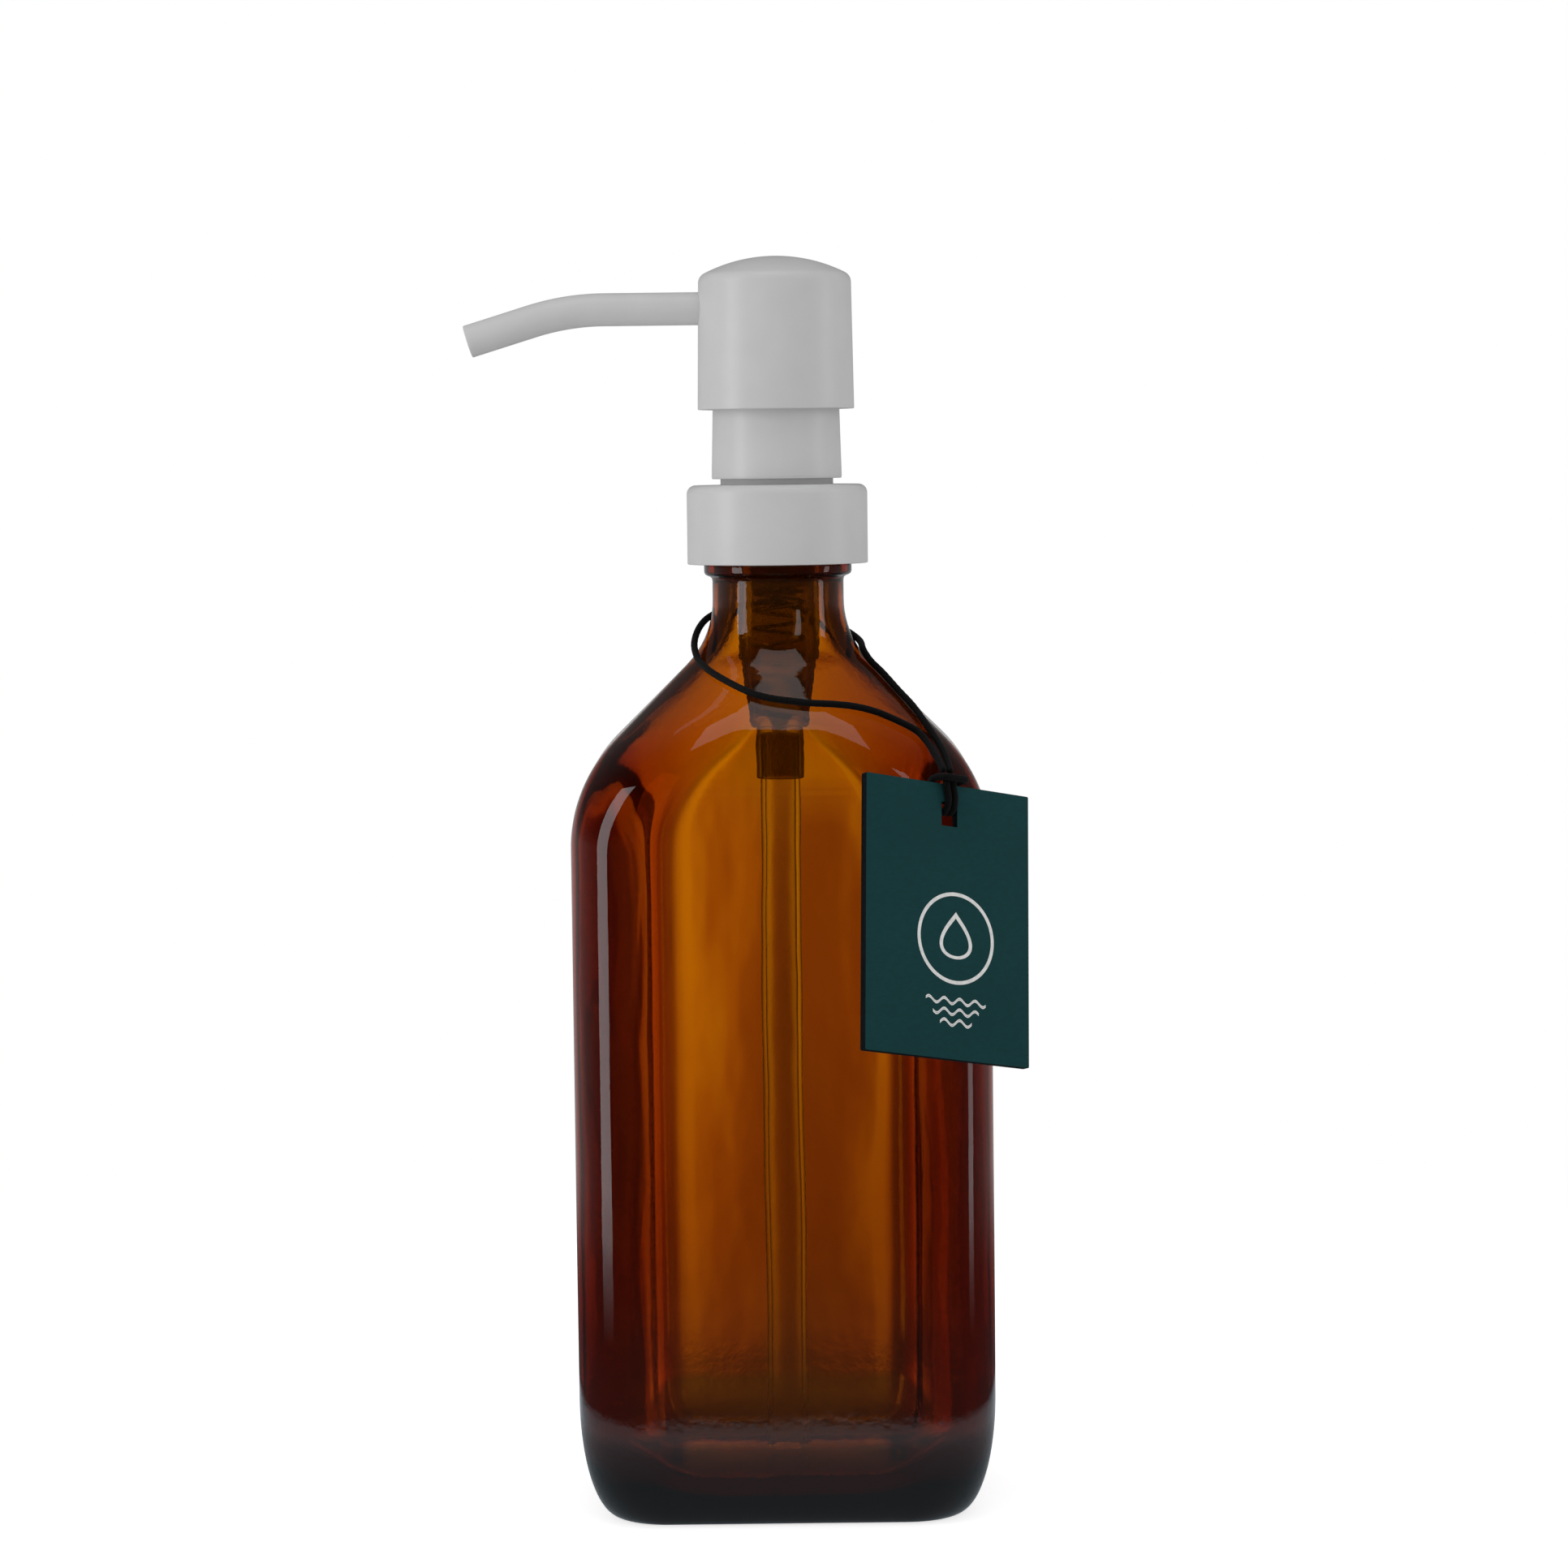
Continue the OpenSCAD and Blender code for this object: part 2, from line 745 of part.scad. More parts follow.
module cord_knot() {
    knot_r = 1.5;
    knot_at = [0, 14, 165];
    color(cord_black)
        translate(knot_at)
            sphere(r = knot_r);
}

glass_bottle();
collar_shell();
collar_insert();
neck_gasket();
pump_housing();
dip_tube();
inlet_ball();
ball_retainer();
return_spring();
stem_tip();
piston_seal();
pump_stem();
discharge_ball();
chaplet();
guide_sleeve();
head_core();
head_shell();
spout_liner();
spout_tube();
hang_tag();
tag_hitch();
tag_cord();
cord_knot();
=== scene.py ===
"""Looks of a soap pump dispenser: a rectangular amber glass bottle, a lotion pump in
satin white metal, and a card tag on a black cord. Outlines are in millimetres, in the
frame of the CAD model: +Z is up, the front looks along -Y, the spout points along -X."""

import math

import bpy
from mathutils import Matrix, Vector, noise


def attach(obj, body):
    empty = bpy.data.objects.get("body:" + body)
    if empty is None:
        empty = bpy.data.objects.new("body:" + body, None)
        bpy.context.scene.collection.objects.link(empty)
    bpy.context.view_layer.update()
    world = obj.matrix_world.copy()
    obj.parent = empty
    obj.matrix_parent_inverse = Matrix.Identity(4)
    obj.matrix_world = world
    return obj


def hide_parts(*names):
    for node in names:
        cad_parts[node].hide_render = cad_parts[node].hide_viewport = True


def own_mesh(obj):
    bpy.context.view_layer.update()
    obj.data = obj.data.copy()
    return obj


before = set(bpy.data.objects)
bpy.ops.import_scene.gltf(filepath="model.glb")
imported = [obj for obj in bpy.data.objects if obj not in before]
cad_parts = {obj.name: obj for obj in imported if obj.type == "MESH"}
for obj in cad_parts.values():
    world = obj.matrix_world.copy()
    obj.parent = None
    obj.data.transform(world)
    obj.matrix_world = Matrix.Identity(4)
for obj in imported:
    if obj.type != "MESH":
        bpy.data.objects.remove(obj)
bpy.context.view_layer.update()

MM = 0.001


# ---------------------------------------------------------------- camera


def make_camera():
    """A 100 mm lens a little above the bottle's mouth, looking slightly down."""
    data = bpy.data.cameras.new("camera")
    data.lens = 100
    data.sensor_width = 36
    camera = bpy.data.objects.new("camera", data)
    bpy.context.scene.collection.objects.link(camera)
    aside = 0.00067
    tilt = math.radians(-0.67)
    place = Vector((aside, -0.7977, 0.1919))
    target = Vector((aside, 0, 0.1319))
    look = (target - place).to_track_quat("-Z", "Y").to_matrix().to_4x4()
    camera.matrix_world = Matrix.Translation(place) @ look @ Matrix.Rotation(tilt, 4, "Z")
    bpy.context.scene.camera = camera


# ---------------------------------------------------------------- mesh helpers


def add_mesh(name, points, faces, material, sharp=40.0):
    """A mesh object from points in millimetres, smooth but for edges sharper than sharp."""
    mesh = bpy.data.meshes.new(name)
    mesh.from_pydata([Vector(p) * MM for p in points], [], faces)
    mesh.update()
    mesh.shade_smooth()
    mesh.set_sharp_from_angle(angle=math.radians(sharp))
    mesh.materials.append(material)
    obj = bpy.data.objects.new(name, mesh)
    bpy.context.scene.collection.objects.link(obj)
    return obj


def place_piece(obj, body, slot, *nodes):
    """obj rides on body and stands for the CAD nodes, which it hides. slot is not used."""
    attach(obj, body)
    if nodes:
        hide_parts(*nodes)
    return obj


def ring_faces(rings, around, capped, closed=False):
    """Quads that join rings of around points each. closed joins the last ring to the first."""
    faces = []
    spans = rings if closed else rings - 1
    for i in range(spans):
        low = i * around
        high = (i + 1) % rings * around
        for j in range(around):
            k = (j + 1) % around
            faces.append((low + j, low + k, high + k, high + j))
    if capped:
        faces.append(tuple(reversed(range(around))))
        last = (rings - 1) * around
        faces.append(tuple(last + j for j in range(around)))
    return faces


def rounded(corners, steps=5):
    """The closed outline through corners of (r, z, fillet), with every fillet as an arc."""
    room = 0.48  # the share of an edge that one fillet may take
    outline = []
    count = len(corners)
    for i, (r, z, fillet) in enumerate(corners):
        here = Vector((r, z))
        before = Vector(corners[i - 1][:2]) - here
        after = Vector(corners[(i + 1) % count][:2]) - here
        if fillet <= 0:
            outline.append(here)
            continue
        half = before.angle(after) / 2
        fillet = min(fillet, room * min(before.length, after.length) * math.tan(half))
        reach = fillet / math.tan(half)
        start = here + before.normalized() * reach
        end = here + after.normalized() * reach
        middle = (before.normalized() + after.normalized()).normalized()
        centre = here + middle * fillet / math.sin(half)
        turn = (start - centre).angle_signed(end - centre)
        for k in range(steps + 1):
            spoke = (start - centre).copy()
            spoke.rotate(Matrix.Rotation(-turn * k / steps, 2))
            outline.append(centre + spoke)
    return outline


def lathe(name, outline, material, around=128):
    """A closed outline of (r, z) turned about the Z axis."""
    points = []
    for r, z in outline:
        for j in range(around):
            turn = 2 * math.pi * j / around
            points.append(Vector((r * math.cos(turn), r * math.sin(turn), z)))
    faces = ring_faces(len(outline), around, False, closed=True)
    return add_mesh(name, points, faces, material)


def smooth_line(route, steps):
    """A smooth line through the points of a route."""
    line = []
    last = len(route) - 1
    for i in range(last):
        a, b = Vector(route[max(i - 1, 0)]), Vector(route[i])
        c, d = Vector(route[i + 1]), Vector(route[min(i + 2, last)])
        for k in range(steps):
            t = k / steps
            bend = 2 * a - 5 * b + 4 * c - d
            twist = 3 * b - a - 3 * c + d
            line.append(b + 0.5 * t * ((c - a) + t * (bend + t * twist)))
    line.append(Vector(route[last]))
    return line


def even_line(line, gap):
    """The same line with points every gap millimetres."""
    spans = [(b - a).length for a, b in zip(line, line[1:])]
    count = max(2, round(sum(spans) / gap))
    step = sum(spans) / count
    result = [line[0]]
    run = 0.0
    for a, b, span in zip(line, line[1:], spans):
        while len(result) < count and run + span >= step * len(result):
            result.append(a.lerp(b, (step * len(result) - run) / span))
        run += span
    result.append(line[-1])
    return result


def frames_along(line):
    """Two side directions at each point of a line, carried along it without twist."""
    side = None
    frames = []
    for i, point in enumerate(line):
        tangent = (line[min(i + 1, len(line) - 1)] - line[max(i - 1, 0)]).normalized()
        if side is None:
            side = tangent.orthogonal()
        side = (side - tangent * side.dot(tangent)).normalized()
        frames.append((point, side, tangent.cross(side)))
    return frames


def tube(name, line, material, radius, around):
    """A round tube along a line. radius gives the radius at (number of the ring, turn)."""
    points = []
    for i, (point, u, v) in enumerate(frames_along(line)):
        for j in range(around):
            turn = 2 * math.pi * j / around
            r = radius(i, turn)
            points.append(point + r * (math.cos(turn) * u + math.sin(turn) * v))
    return add_mesh(name, points, ring_faces(len(line), around, True), material, 60)


# ---------------------------------------------------------------- materials


def fill_ramp(node, stops):
    """Sets a colour ramp's stops, each (place, colour), in rising order."""
    elements = node.color_ramp.elements
    elements.remove(elements[1])
    elements[0].position = stops[0][0]
    elements[0].color = (*stops[0][1], 1)
    for place, colour in stops[1:]:
        elements.new(place).color = (*colour, 1)


class Paint:
    """A material with one Principled shader, and short ways to add nodes to it."""

    def __init__(self, name, **values):
        self.material = bpy.data.materials.new(name)
        self.material.use_nodes = True
        self.tree = self.material.node_tree
        self.tree.nodes.clear()
        self.out = self.tree.nodes.new("ShaderNodeOutputMaterial")
        self.shader = self.node("BsdfPrincipled", **values)
        self.link(self.shader, 0, self.out, "Surface")
        self.place = self.node("TexCoord")

    def node(self, kind, **values):
        made = self.tree.nodes.new("ShaderNode" + kind)
        for key, value in values.items():
            name = key.replace("_", " ")
            made.inputs[name].default_value = value
        return made

    def link(self, source, output, target, socket):
        self.tree.links.new(source.outputs[output], target.inputs[socket])

    def noise(self, scale, detail=2.0, rough=0.5, stretch=None):
        """Noise over the piece's own metres, optionally stretched along the axes."""
        made = self.node("TexNoise", Scale=scale, Detail=detail, Roughness=rough)
        if stretch:
            mapping = self.node("Mapping", Scale=stretch)
            self.link(self.place, "Object", mapping, "Vector")
            self.link(mapping, 0, made, "Vector")
        else:
            self.link(self.place, "Object", made, "Vector")
        return made

    def ramp(self, source, output, stops):
        """A colour ramp; stops are (place, colour)."""
        made = self.tree.nodes.new("ShaderNodeValToRGB")
        fill_ramp(made, stops)
        self.link(source, output, made, "Fac")
        return made

    def to_range(self, source, output, low, high, start=0.0, end=1.0):
        made = self.node("MapRange", From_Min=start, From_Max=end, To_Min=low, To_Max=high)
        self.link(source, output, made, "Value")
        return made

    def math(self, operation, *values):
        """A Math node; each value is a number or a (node, output) pair."""
        made = self.tree.nodes.new("ShaderNodeMath")
        made.operation = operation
        for i, value in enumerate(values):
            if isinstance(value, tuple):
                self.tree.links.new(value[0].outputs[value[1]], made.inputs[i])
            else:
                made.inputs[i].default_value = value
        return made

    def bump(self, source, output, depth, strength=1.0):
        made = self.node("Bump", Strength=strength, Distance=depth)
        self.link(source, output, made, "Height")
        self.link(made, 0, self.shader, "Normal")

    def colour(self, source, output, stops):
        """Base colour from a ramp."""
        self.link(self.ramp(source, output, stops), "Color", self.shader, "Base Color")

    def gloss(self, grain, low, high):
        """Roughness that goes from low to high with a noise."""
        self.link(self.to_range(grain, "Fac", low, high), 0, self.shader, "Roughness")


def srgb(r, g, b):
    """A screen colour of 0 to 255 as linear light."""
    return tuple(((c / 255 + 0.055) / 1.055) ** 2.4 if c > 10 else c / 255 / 12.92 for c in (r, g, b))


def shades(colour, spread):
    """Two colours a little darker and a little lighter than colour."""
    return tuple(c * (1 - spread) for c in colour), tuple(min(1.0, c * (1 + spread)) for c in colour)


def satin_metal():
    """Satin white lacquer on metal: fine orange peel, faint mottling, uneven gloss."""
    paint = Paint("satin_white_metal")
    low, high = shades(srgb(222, 222, 222), 0.018)
    mottle = paint.noise(160, 4)
    paint.colour(mottle, "Fac", [(0.3, low), (0.7, high)])
    smear = paint.noise(420, 3, stretch=(1, 1, 0.35))
    paint.gloss(smear, 0.3, 0.38)
    grain = paint.noise(3800, 2, 0.6)
    paint.bump(grain, "Fac", 0.00002, 0.35)
    return paint.material


def amber_glass():
    """Brown glass that darkens with depth, with a slight ripple and a pebbled heel and neck."""
    paint = Paint("amber_glass", Roughness=0.0, IOR=1.52, Transmission_Weight=1.0)
    paint.shader.inputs["Base Color"].default_value = (1, 1, 1, 1)
    depth = paint.node("VolumeAbsorption", Density=1500.0)
    depth.inputs["Color"].default_value = (0.928, 0.78, 0.05, 1)
    paint.link(depth, 0, paint.out, "Volume")
    waves = paint.noise(90, 2, stretch=(1, 1, 0.45))
    pebbles = paint.noise(620, 2, 0.55)
    height = paint.node("SeparateXYZ")
    paint.link(paint.place, "Object", height, 0)
    heel = paint.to_range(height, "Z", 1.0, 0.0, 0.012, 0.026)
    neck = paint.to_range(height, "Z", 0.0, 0.55, 0.135, 0.16)
    share = paint.math("ADD", (heel, 0), (neck, 0))
    peel = paint.math("MULTIPLY", (pebbles, "Fac"), (share, 0))
    fine = paint.math("MULTIPLY", (peel, 0), 0.5)
    total = paint.math("ADD", (waves, "Fac"), (fine, 0))
    paint.bump(total, 0, 0.00018, 0.5)
    return paint.material


def clear_plastic(name, tint, transmission, rough):
    """Natural plastic, hazy and slightly yellow, with draw lines along it."""
    paint = Paint(name, IOR=1.07, Transmission_Weight=transmission)
    haze = paint.noise(110, 3, stretch=(1, 1, 0.15))
    low, high = shades(tint, 0.08)
    paint.colour(haze, "Fac", [(0.3, low), (0.7, high)])
    paint.gloss(haze, rough * 0.8, rough * 1.2)
    lines = paint.noise(900, 2, stretch=(1, 1, 0.05))
    paint.bump(lines, "Fac", 0.00004, 0.4)
    return paint.material


def white_plastic():
    """Moulded white polypropylene, faintly mottled."""
    paint = Paint("white_plastic", IOR=1.49, Subsurface_Weight=0.15, Subsurface_Scale=0.002)
    low, high = shades((0.78, 0.78, 0.76), 0.03)
    mottle = paint.noise(260, 3)
    paint.colour(mottle, "Fac", [(0.3, low), (0.7, high)])
    paint.gloss(mottle, 0.34, 0.46)
    grain = paint.noise(2600, 2)
    paint.bump(grain, "Fac", 0.00002, 0.3)
    return paint.material


def bright_steel(name, scale):
    """Drawn or ground stainless steel with fine lines."""
    paint = Paint(name, Metallic=1.0)
    lines = paint.noise(scale, 4, stretch=(1, 1, 0.2))
    low, high = shades((0.6, 0.61, 0.63), 0.1)
    paint.colour(lines, "Fac", [(0.3, low), (0.7, high)])
    paint.gloss(lines, 0.16, 0.3)
    paint.bump(lines, "Fac", 0.00001, 0.3)
    return paint.material


def green_card():
    """Uncoated dyed card: paper fibres, mottled ink."""
    paint = Paint("green_card", Specular_IOR_Level=0.12)
    fibres = paint.noise(700, 6, 0.7, stretch=(1.0, 1.0, 2.2))
    clouds = paint.noise(60, 3)
    low, high = shades(srgb(24, 68, 70), 0.12)
    both = paint.math("MULTIPLY_ADD", (clouds, "Fac"), 0.5, 0.25)
    blend = paint.math("MULTIPLY", (fibres, "Fac"), (both, 0))
    paint.colour(blend, 0, [(0.12, low), (0.4, high)])
    paint.gloss(fibres, 0.62, 0.85)
    paint.bump(fibres, "Fac", 0.00005, 0.45)
    return paint.material


def card_edge():
    """The card's dark cut edges, rough with fibres."""
    paint = Paint("card_edge", Specular_IOR_Level=0.2)
    fibres = paint.noise(1400, 4, 0.7)
    paint.colour(fibres, "Fac", [(0.3, srgb(3, 7, 8)), (0.75, srgb(14, 26, 28))])
    paint.gloss(fibres, 0.75, 0.95)
    paint.bump(fibres, "Fac", 0.00006, 0.6)
    return paint.material


def white_ink():
    """White ink, faintly mottled."""
    paint = Paint("white_ink", Specular_IOR_Level=0.4)
    fibres = paint.noise(1100, 5, 0.65)
    paint.colour(fibres, "Fac", [(0.25, srgb(225, 227, 224)), (0.6, srgb(250, 250, 248))])
    paint.gloss(fibres, 0.5, 0.7)
    paint.bump(fibres, "Fac", 0.00003, 0.4)
    return paint.material


def black_cord():
    """Waxed braided cotton, black."""
    paint = Paint("black_cord", Sheen_Weight=0.04, Specular_IOR_Level=0.25)
    fibres = paint.noise(2600, 4, 0.7)
    paint.colour(fibres, "Fac", [(0.3, srgb(3, 3, 4)), (0.8, srgb(15, 15, 17))])
    paint.gloss(fibres, 0.6, 0.8)
    paint.bump(fibres, "Fac", 0.00006, 0.5)
    return paint.material


METAL = satin_metal()
GLASS = amber_glass()
MILKY = clear_plastic("milky_plastic", (0.4, 0.36, 0.28), 0.93, 0.3)
CLEAR = clear_plastic("clear_plastic", (0.88, 0.86, 0.8), 0.95, 0.25)
PLASTIC = white_plastic()
SPRING_STEEL = bright_steel("spring_steel", 2400)
BALL_STEEL = bright_steel("ball_steel", 900)
CARD = green_card()
CARD_EDGE = card_edge()
INK = white_ink()
CORD = black_cord()


# ---------------------------------------------------------------- camera and cord first

make_camera()

CORD_D = 1.2
TAG_AT = Vector((29.7, -30.8, 133.8))
TAG_YAW = 34.5
TAG_LEAN = 13.5
TAG_ROLL = 10.5
TAG_TURN = (
    Matrix.Rotation(math.radians(TAG_YAW), 4, "Z")
    @ Matrix.Rotation(math.radians(-TAG_LEAN), 4, "X")
    @ Matrix.Rotation(math.radians(TAG_ROLL), 4, "Y")
)
TAG_FRAME = Matrix.Translation(TAG_AT) @ TAG_TURN

# The cord's route, from one side of the hitch round the neck to the other
CORD_ROUTE = [
    (28.9, -30.8, 136.2), (28.2, -28.2, 137.6), (27.3, -25.2, 139.2), (26.3, -22.6, 140.8),
    (24.4, -21.2, 142.8), (20.9, -21.4, 144.7), (17.2, -21.8, 146.3), (13.5, -22.5, 147.3),
    (9.8, -23.3, 147.8), (5.4, -23.8, 148.1), (1.7, -23.4, 148.5), (-2.1, -22.8, 149.1),
    (-5.2, -21.75, 150), (-8.4, -19.4, 151.4), (-11.9, -15.1, 153.2), (-13.6, -11.7, 154.4),
    (-14.7, -8.4, 155.5), (-15.4, -3.4, 158), (-14.5, 1.5, 160.8), (-12.3, 6.2, 162.8),
    (-7.6, 10.9, 164.4), (0, 13.2, 165), (6.4, 11.8, 162.8), (11.3, 8.6, 160.4),
    (14.7, 2, 158.2), (15.4, -4.2, 156.6), (16.7, -5, 154.6), (18.9, -6.2, 152.4),
    (21.5, -8.8, 149.5), (24.2, -11.9, 146.6), (26.2, -15.8, 143.8), (27.8, -19.4, 141.4),
    (29, -23, 139.4), (29.7, -26.4, 137.6), (30.1, -30, 135.9),
]

# The lark's head, as (across, out from the front face, up from the top edge)
HITCH_ROUTE = [
    (-1.1, 0.75, 1), (-0.9, 0.75, -0.6), (-0.5, 0.7, -2.4), (-0.45, 0.35, -4.1),
    (-0.45, -0.8, -4.9), (-0.6, -1.9, -4.5), (-1, -2.3, -3.1), (-1.7, -2.3, -1.1),
    (-2.4, -2, 0.5), (-2.5, -0.9, 1), (-2.4, 0.6, 1), (-1.9, 1.7, 0.9),
    (-1, 2.1, 0.8), (0.3, 2.15, 0.8), (1.6, 2.1, 0.8), (2.5, 1.7, 0.9),
    (2.9, 0.6, 1), (3, -0.9, 1), (2.8, -2, 0.5), (2.2, -2.3, -1.1),
    (1.5, -2.3, -3.1), (1.1, -1.9, -4.5), (0.95, -0.8, -4.9), (0.95, 0.35, -4.1),
    (0.9, 0.7, -2.4), (0.55, 0.75, -0.6), (0.35, 0.75, 1),
]


def on_tag(across, out, up):
    """A point given on the tag's front face, in the object's frame."""
    return TAG_FRAME @ Vector((across, -out, up))


def braid(gap, thick=CORD_D / 2):
    """The radius of a braided cord, for rings gap apart."""
    pitch = 2.6
    strands = 8
    relief = 0.075
    swell = 1.6

    def radius(i, turn):
        lay = 2 * math.pi * i * gap / pitch
        right = abs(math.cos(turn * strands / 2 + lay))
        left = abs(math.cos(turn * strands / 2 - lay))
        return thick * (1 - relief + relief * swell * max(right, left))

    return radius


def make_cord(name, route, gap=0.16, around=20):
    """A braided cord along a route, with rounded ends. Returns it and its centre line."""
    line = even_line(smooth_line(route, 8), gap)
    wave = braid(gap)
    last = len(line) - 1
    round_over = 3
    blunt = 0.6

    def radius(i, turn):
        from_end = min(i, last - i)
        if from_end >= round_over:
            return wave(i, turn)
        drawn = 1 - (from_end + blunt) / (round_over + blunt)
        return wave(i, turn) * math.sqrt(1 - drawn**2)

    return tube(name, line, CORD, radius, around), line


tag_cord, cord_line = make_cord("tag_cord_braid", CORD_ROUTE)
place_piece(tag_cord, "bottle", "cord", "tag_cord")
tag_hitch = make_cord("tag_hitch_braid", [on_tag(*p) for p in HITCH_ROUTE], 0.14)[0]
place_piece(tag_hitch, "tag", "cord", "tag_hitch")


def overhand_knot(name, centre, size):
    """A small overhand knot: a cord along a trefoil, pulled tight, with two cut ends."""
    steps = 96
    start, share = 0.06, 0.88
    wide, deep, tight = 0.42, 0.36, 0.55
    gap, thick = 0.14, 0.52
    line = []
    for i in range(steps + 1):
        t = 2 * math.pi * (start + share * i / steps)
        across = size * wide * (math.sin(t) + 2 * math.sin(2 * t)) * tight
        out = size * deep * math.sin(3 * t)
        up = size * wide * (math.cos(t) - 2 * math.cos(2 * t)) * tight
        line.append(Vector((centre[0] + across, centre[1] + out, centre[2] + up)))
    return tube(name, even_line(line, gap), CORD, braid(gap, thick), 16)


knot = overhand_knot("cord_knot_tied", (0, 14, 165), 1.5)
place_piece(knot, "bottle", "cord", "cord_knot")


# ---------------------------------------------------------------- bottle

BODY_HALF = (37.8, 30.0)
BODY_CORNER = 13.0
INNER_CORNER = 16.2
WALL = 2.8
NECK_R = 12.0
NECK_Z = 166.0
NECK_ARC = 17.0
SHOULDER_ARC = (26.6, 20.0)
HEEL = ((7.0, 22.0), (5.5, 18.0))
ROUND_FROM = 122.0
SHOULDER_FROM = ROUND_FROM - 40
ROUND_OVER = 35.0
FLOOR_Z = 6.0
PUSH_UP = 3.0
MOUTH_R = NECK_R - WALL
LIP_Z = 182.6
FINISH_R = 12.35
THREAD_R = 13.65
THREAD_Z = 176.2
THREAD_TURN = 450.0
PITCH = 4.233
BEAD_R = 13.5
BEAD_Z = (170.2, 173.5)
AROUND = 240


def clamp(value, low=0.0, high=1.0):
    return min(max(value, low), high)


def shoulder(z, half, big, inset):
    """Half a width at height z: an arc in, a 45 degree slope, an arc up into the neck."""
    lost = 1 - math.cos(math.pi / 4)
    r1 = big - inset
    r2 = NECK_ARC + inset
    wide = half - inset
    narrow = NECK_R - inset
    z2 = NECK_Z - r2 * math.sin(math.pi / 4)
    z1 = z2 - (wide - r1 * lost - narrow - r2 * lost)
    z0 = z1 - r1 * math.sin(math.pi / 4)
    if z <= z0:
        return wide
    if z < z1:
        return wide - r1 + math.sqrt(r1 * r1 - (z - z0) ** 2)
    if z < z2:
        return wide - r1 * lost - (z - z1)
    if z < NECK_Z:
        return narrow + r2 - math.sqrt(r2 * r2 - (NECK_Z - z) ** 2)
    return narrow


def squareness(z):
    """How much of the body's corner is left at height z."""
    return 1 - clamp((z - ROUND_FROM) / ROUND_OVER) ** 1.5


def box_ring(z, a, b, corner):
    """A rounded rectangle of half sizes a and b, with its points at even angles."""
    ring = []
    corner = min(corner, a, b)
    cx, cy = a - corner, b - corner
    for j in range(AROUND):
        turn = 2 * math.pi * (j + 0.5) / AROUND
        u, v = abs(math.cos(turn)), abs(math.sin(turn))
        if a * v <= cy * u:
            r = a / u
        elif b * u <= cx * v:
            r = b / v
        else:
            along = u * cx + v * cy
            r = along + math.sqrt(max(0.0, along * along - cx * cx - cy * cy + corner * corner))
        ring.append(Vector((r * math.cos(turn), r * math.sin(turn), z)))
    return ring


def shoulder_ring(z, inset, corner_r):
    a = shoulder(z, BODY_HALF[0], SHOULDER_ARC[0], inset)
    b = shoulder(z, BODY_HALF[1], SHOULDER_ARC[1], inset)
    least = min(a, b)
    return box_ring(z, a, b, least - (least - corner_r) * squareness(z))


def heel_ring(z):
    drawn = [x * (1 - math.sqrt(1 - clamp(1 - z / h) ** 2)) for x, h in HEEL]
    return box_ring(z, BODY_HALF[0] - drawn[0], BODY_HALF[1] - drawn[1], BODY_CORNER - 0.6 * min(drawn))


def inner_heel_ring(turn):
    """The inside heel, turn radians round the curve from the floor to the wall."""
    reach, rise = 9.0, 12.0
    drawn = reach * (1 - math.sin(turn))
    return box_ring(
        FLOOR_Z - 0.5 + rise * (1 - math.cos(turn)),
        BODY_HALF[0] - WALL - drawn,
        BODY_HALF[1] - WALL - drawn,
        INNER_CORNER - 0.35 * drawn,
    )


def thread_rise(z, degrees):
    """How far the thread stands out, 0 to 1, at a height and a turn."""
    rise = 0.0
    for lap in (0, 1):
        run = degrees + 360 * lap
        off = abs(z - THREAD_Z - PITCH * run / 360)
        ends = clamp(min(run, THREAD_TURN - run) / 30)
        rise = max(rise, ends * clamp((1.2 - off) / 0.75))
    return rise


def thread_ring(z):
    ring = []
    for j in range(AROUND):
        degrees = 360 * (j + 0.5) / AROUND
        r = FINISH_R + (THREAD_R - FINISH_R) * thread_rise(z, degrees)
        turn = math.radians(degrees)
        ring.append(Vector((r * math.cos(turn), r * math.sin(turn), z)))
    return ring


def round_ring(z, r):
    return box_ring(z, r, r, r)


def steps_between(low, high, gap):
    count = max(1, round((high - low) / gap))
    return [low + (high - low) * i / count for i in range(count)]


def crowned(ring, z):
    """The inside wall thickens from the middle of each face towards its corners."""
    crown = 0.6 * squareness(z)
    flat = (24.8, 17.0)
    most = 1.2
    limit = 0.2
    moved = []
    for p in ring:
        dx = crown * 0.8 * clamp(abs(p.y) / flat[1], 0, most) ** 2
        dy = crown * clamp(abs(p.x) / flat[0], 0, most) ** 2
        x = p.x - math.copysign(min(dx, abs(p.x) * limit), p.x)
        y = p.y - math.copysign(min(dy, abs(p.y) * limit), p.y)
        moved.append(Vector((x, y, p.z)))
    return moved


def rippled(ring, amount, grain):
    """A blown surface's slow waves, in and out along each point's own direction."""
    moved = []
    for p in ring:
        wave = noise.noise(Vector((p.x, p.y, p.z * 0.4)) / grain)
        out = Vector((p.x, p.y, 0)).normalized()
        moved.append(p + out * wave * amount)
    return moved


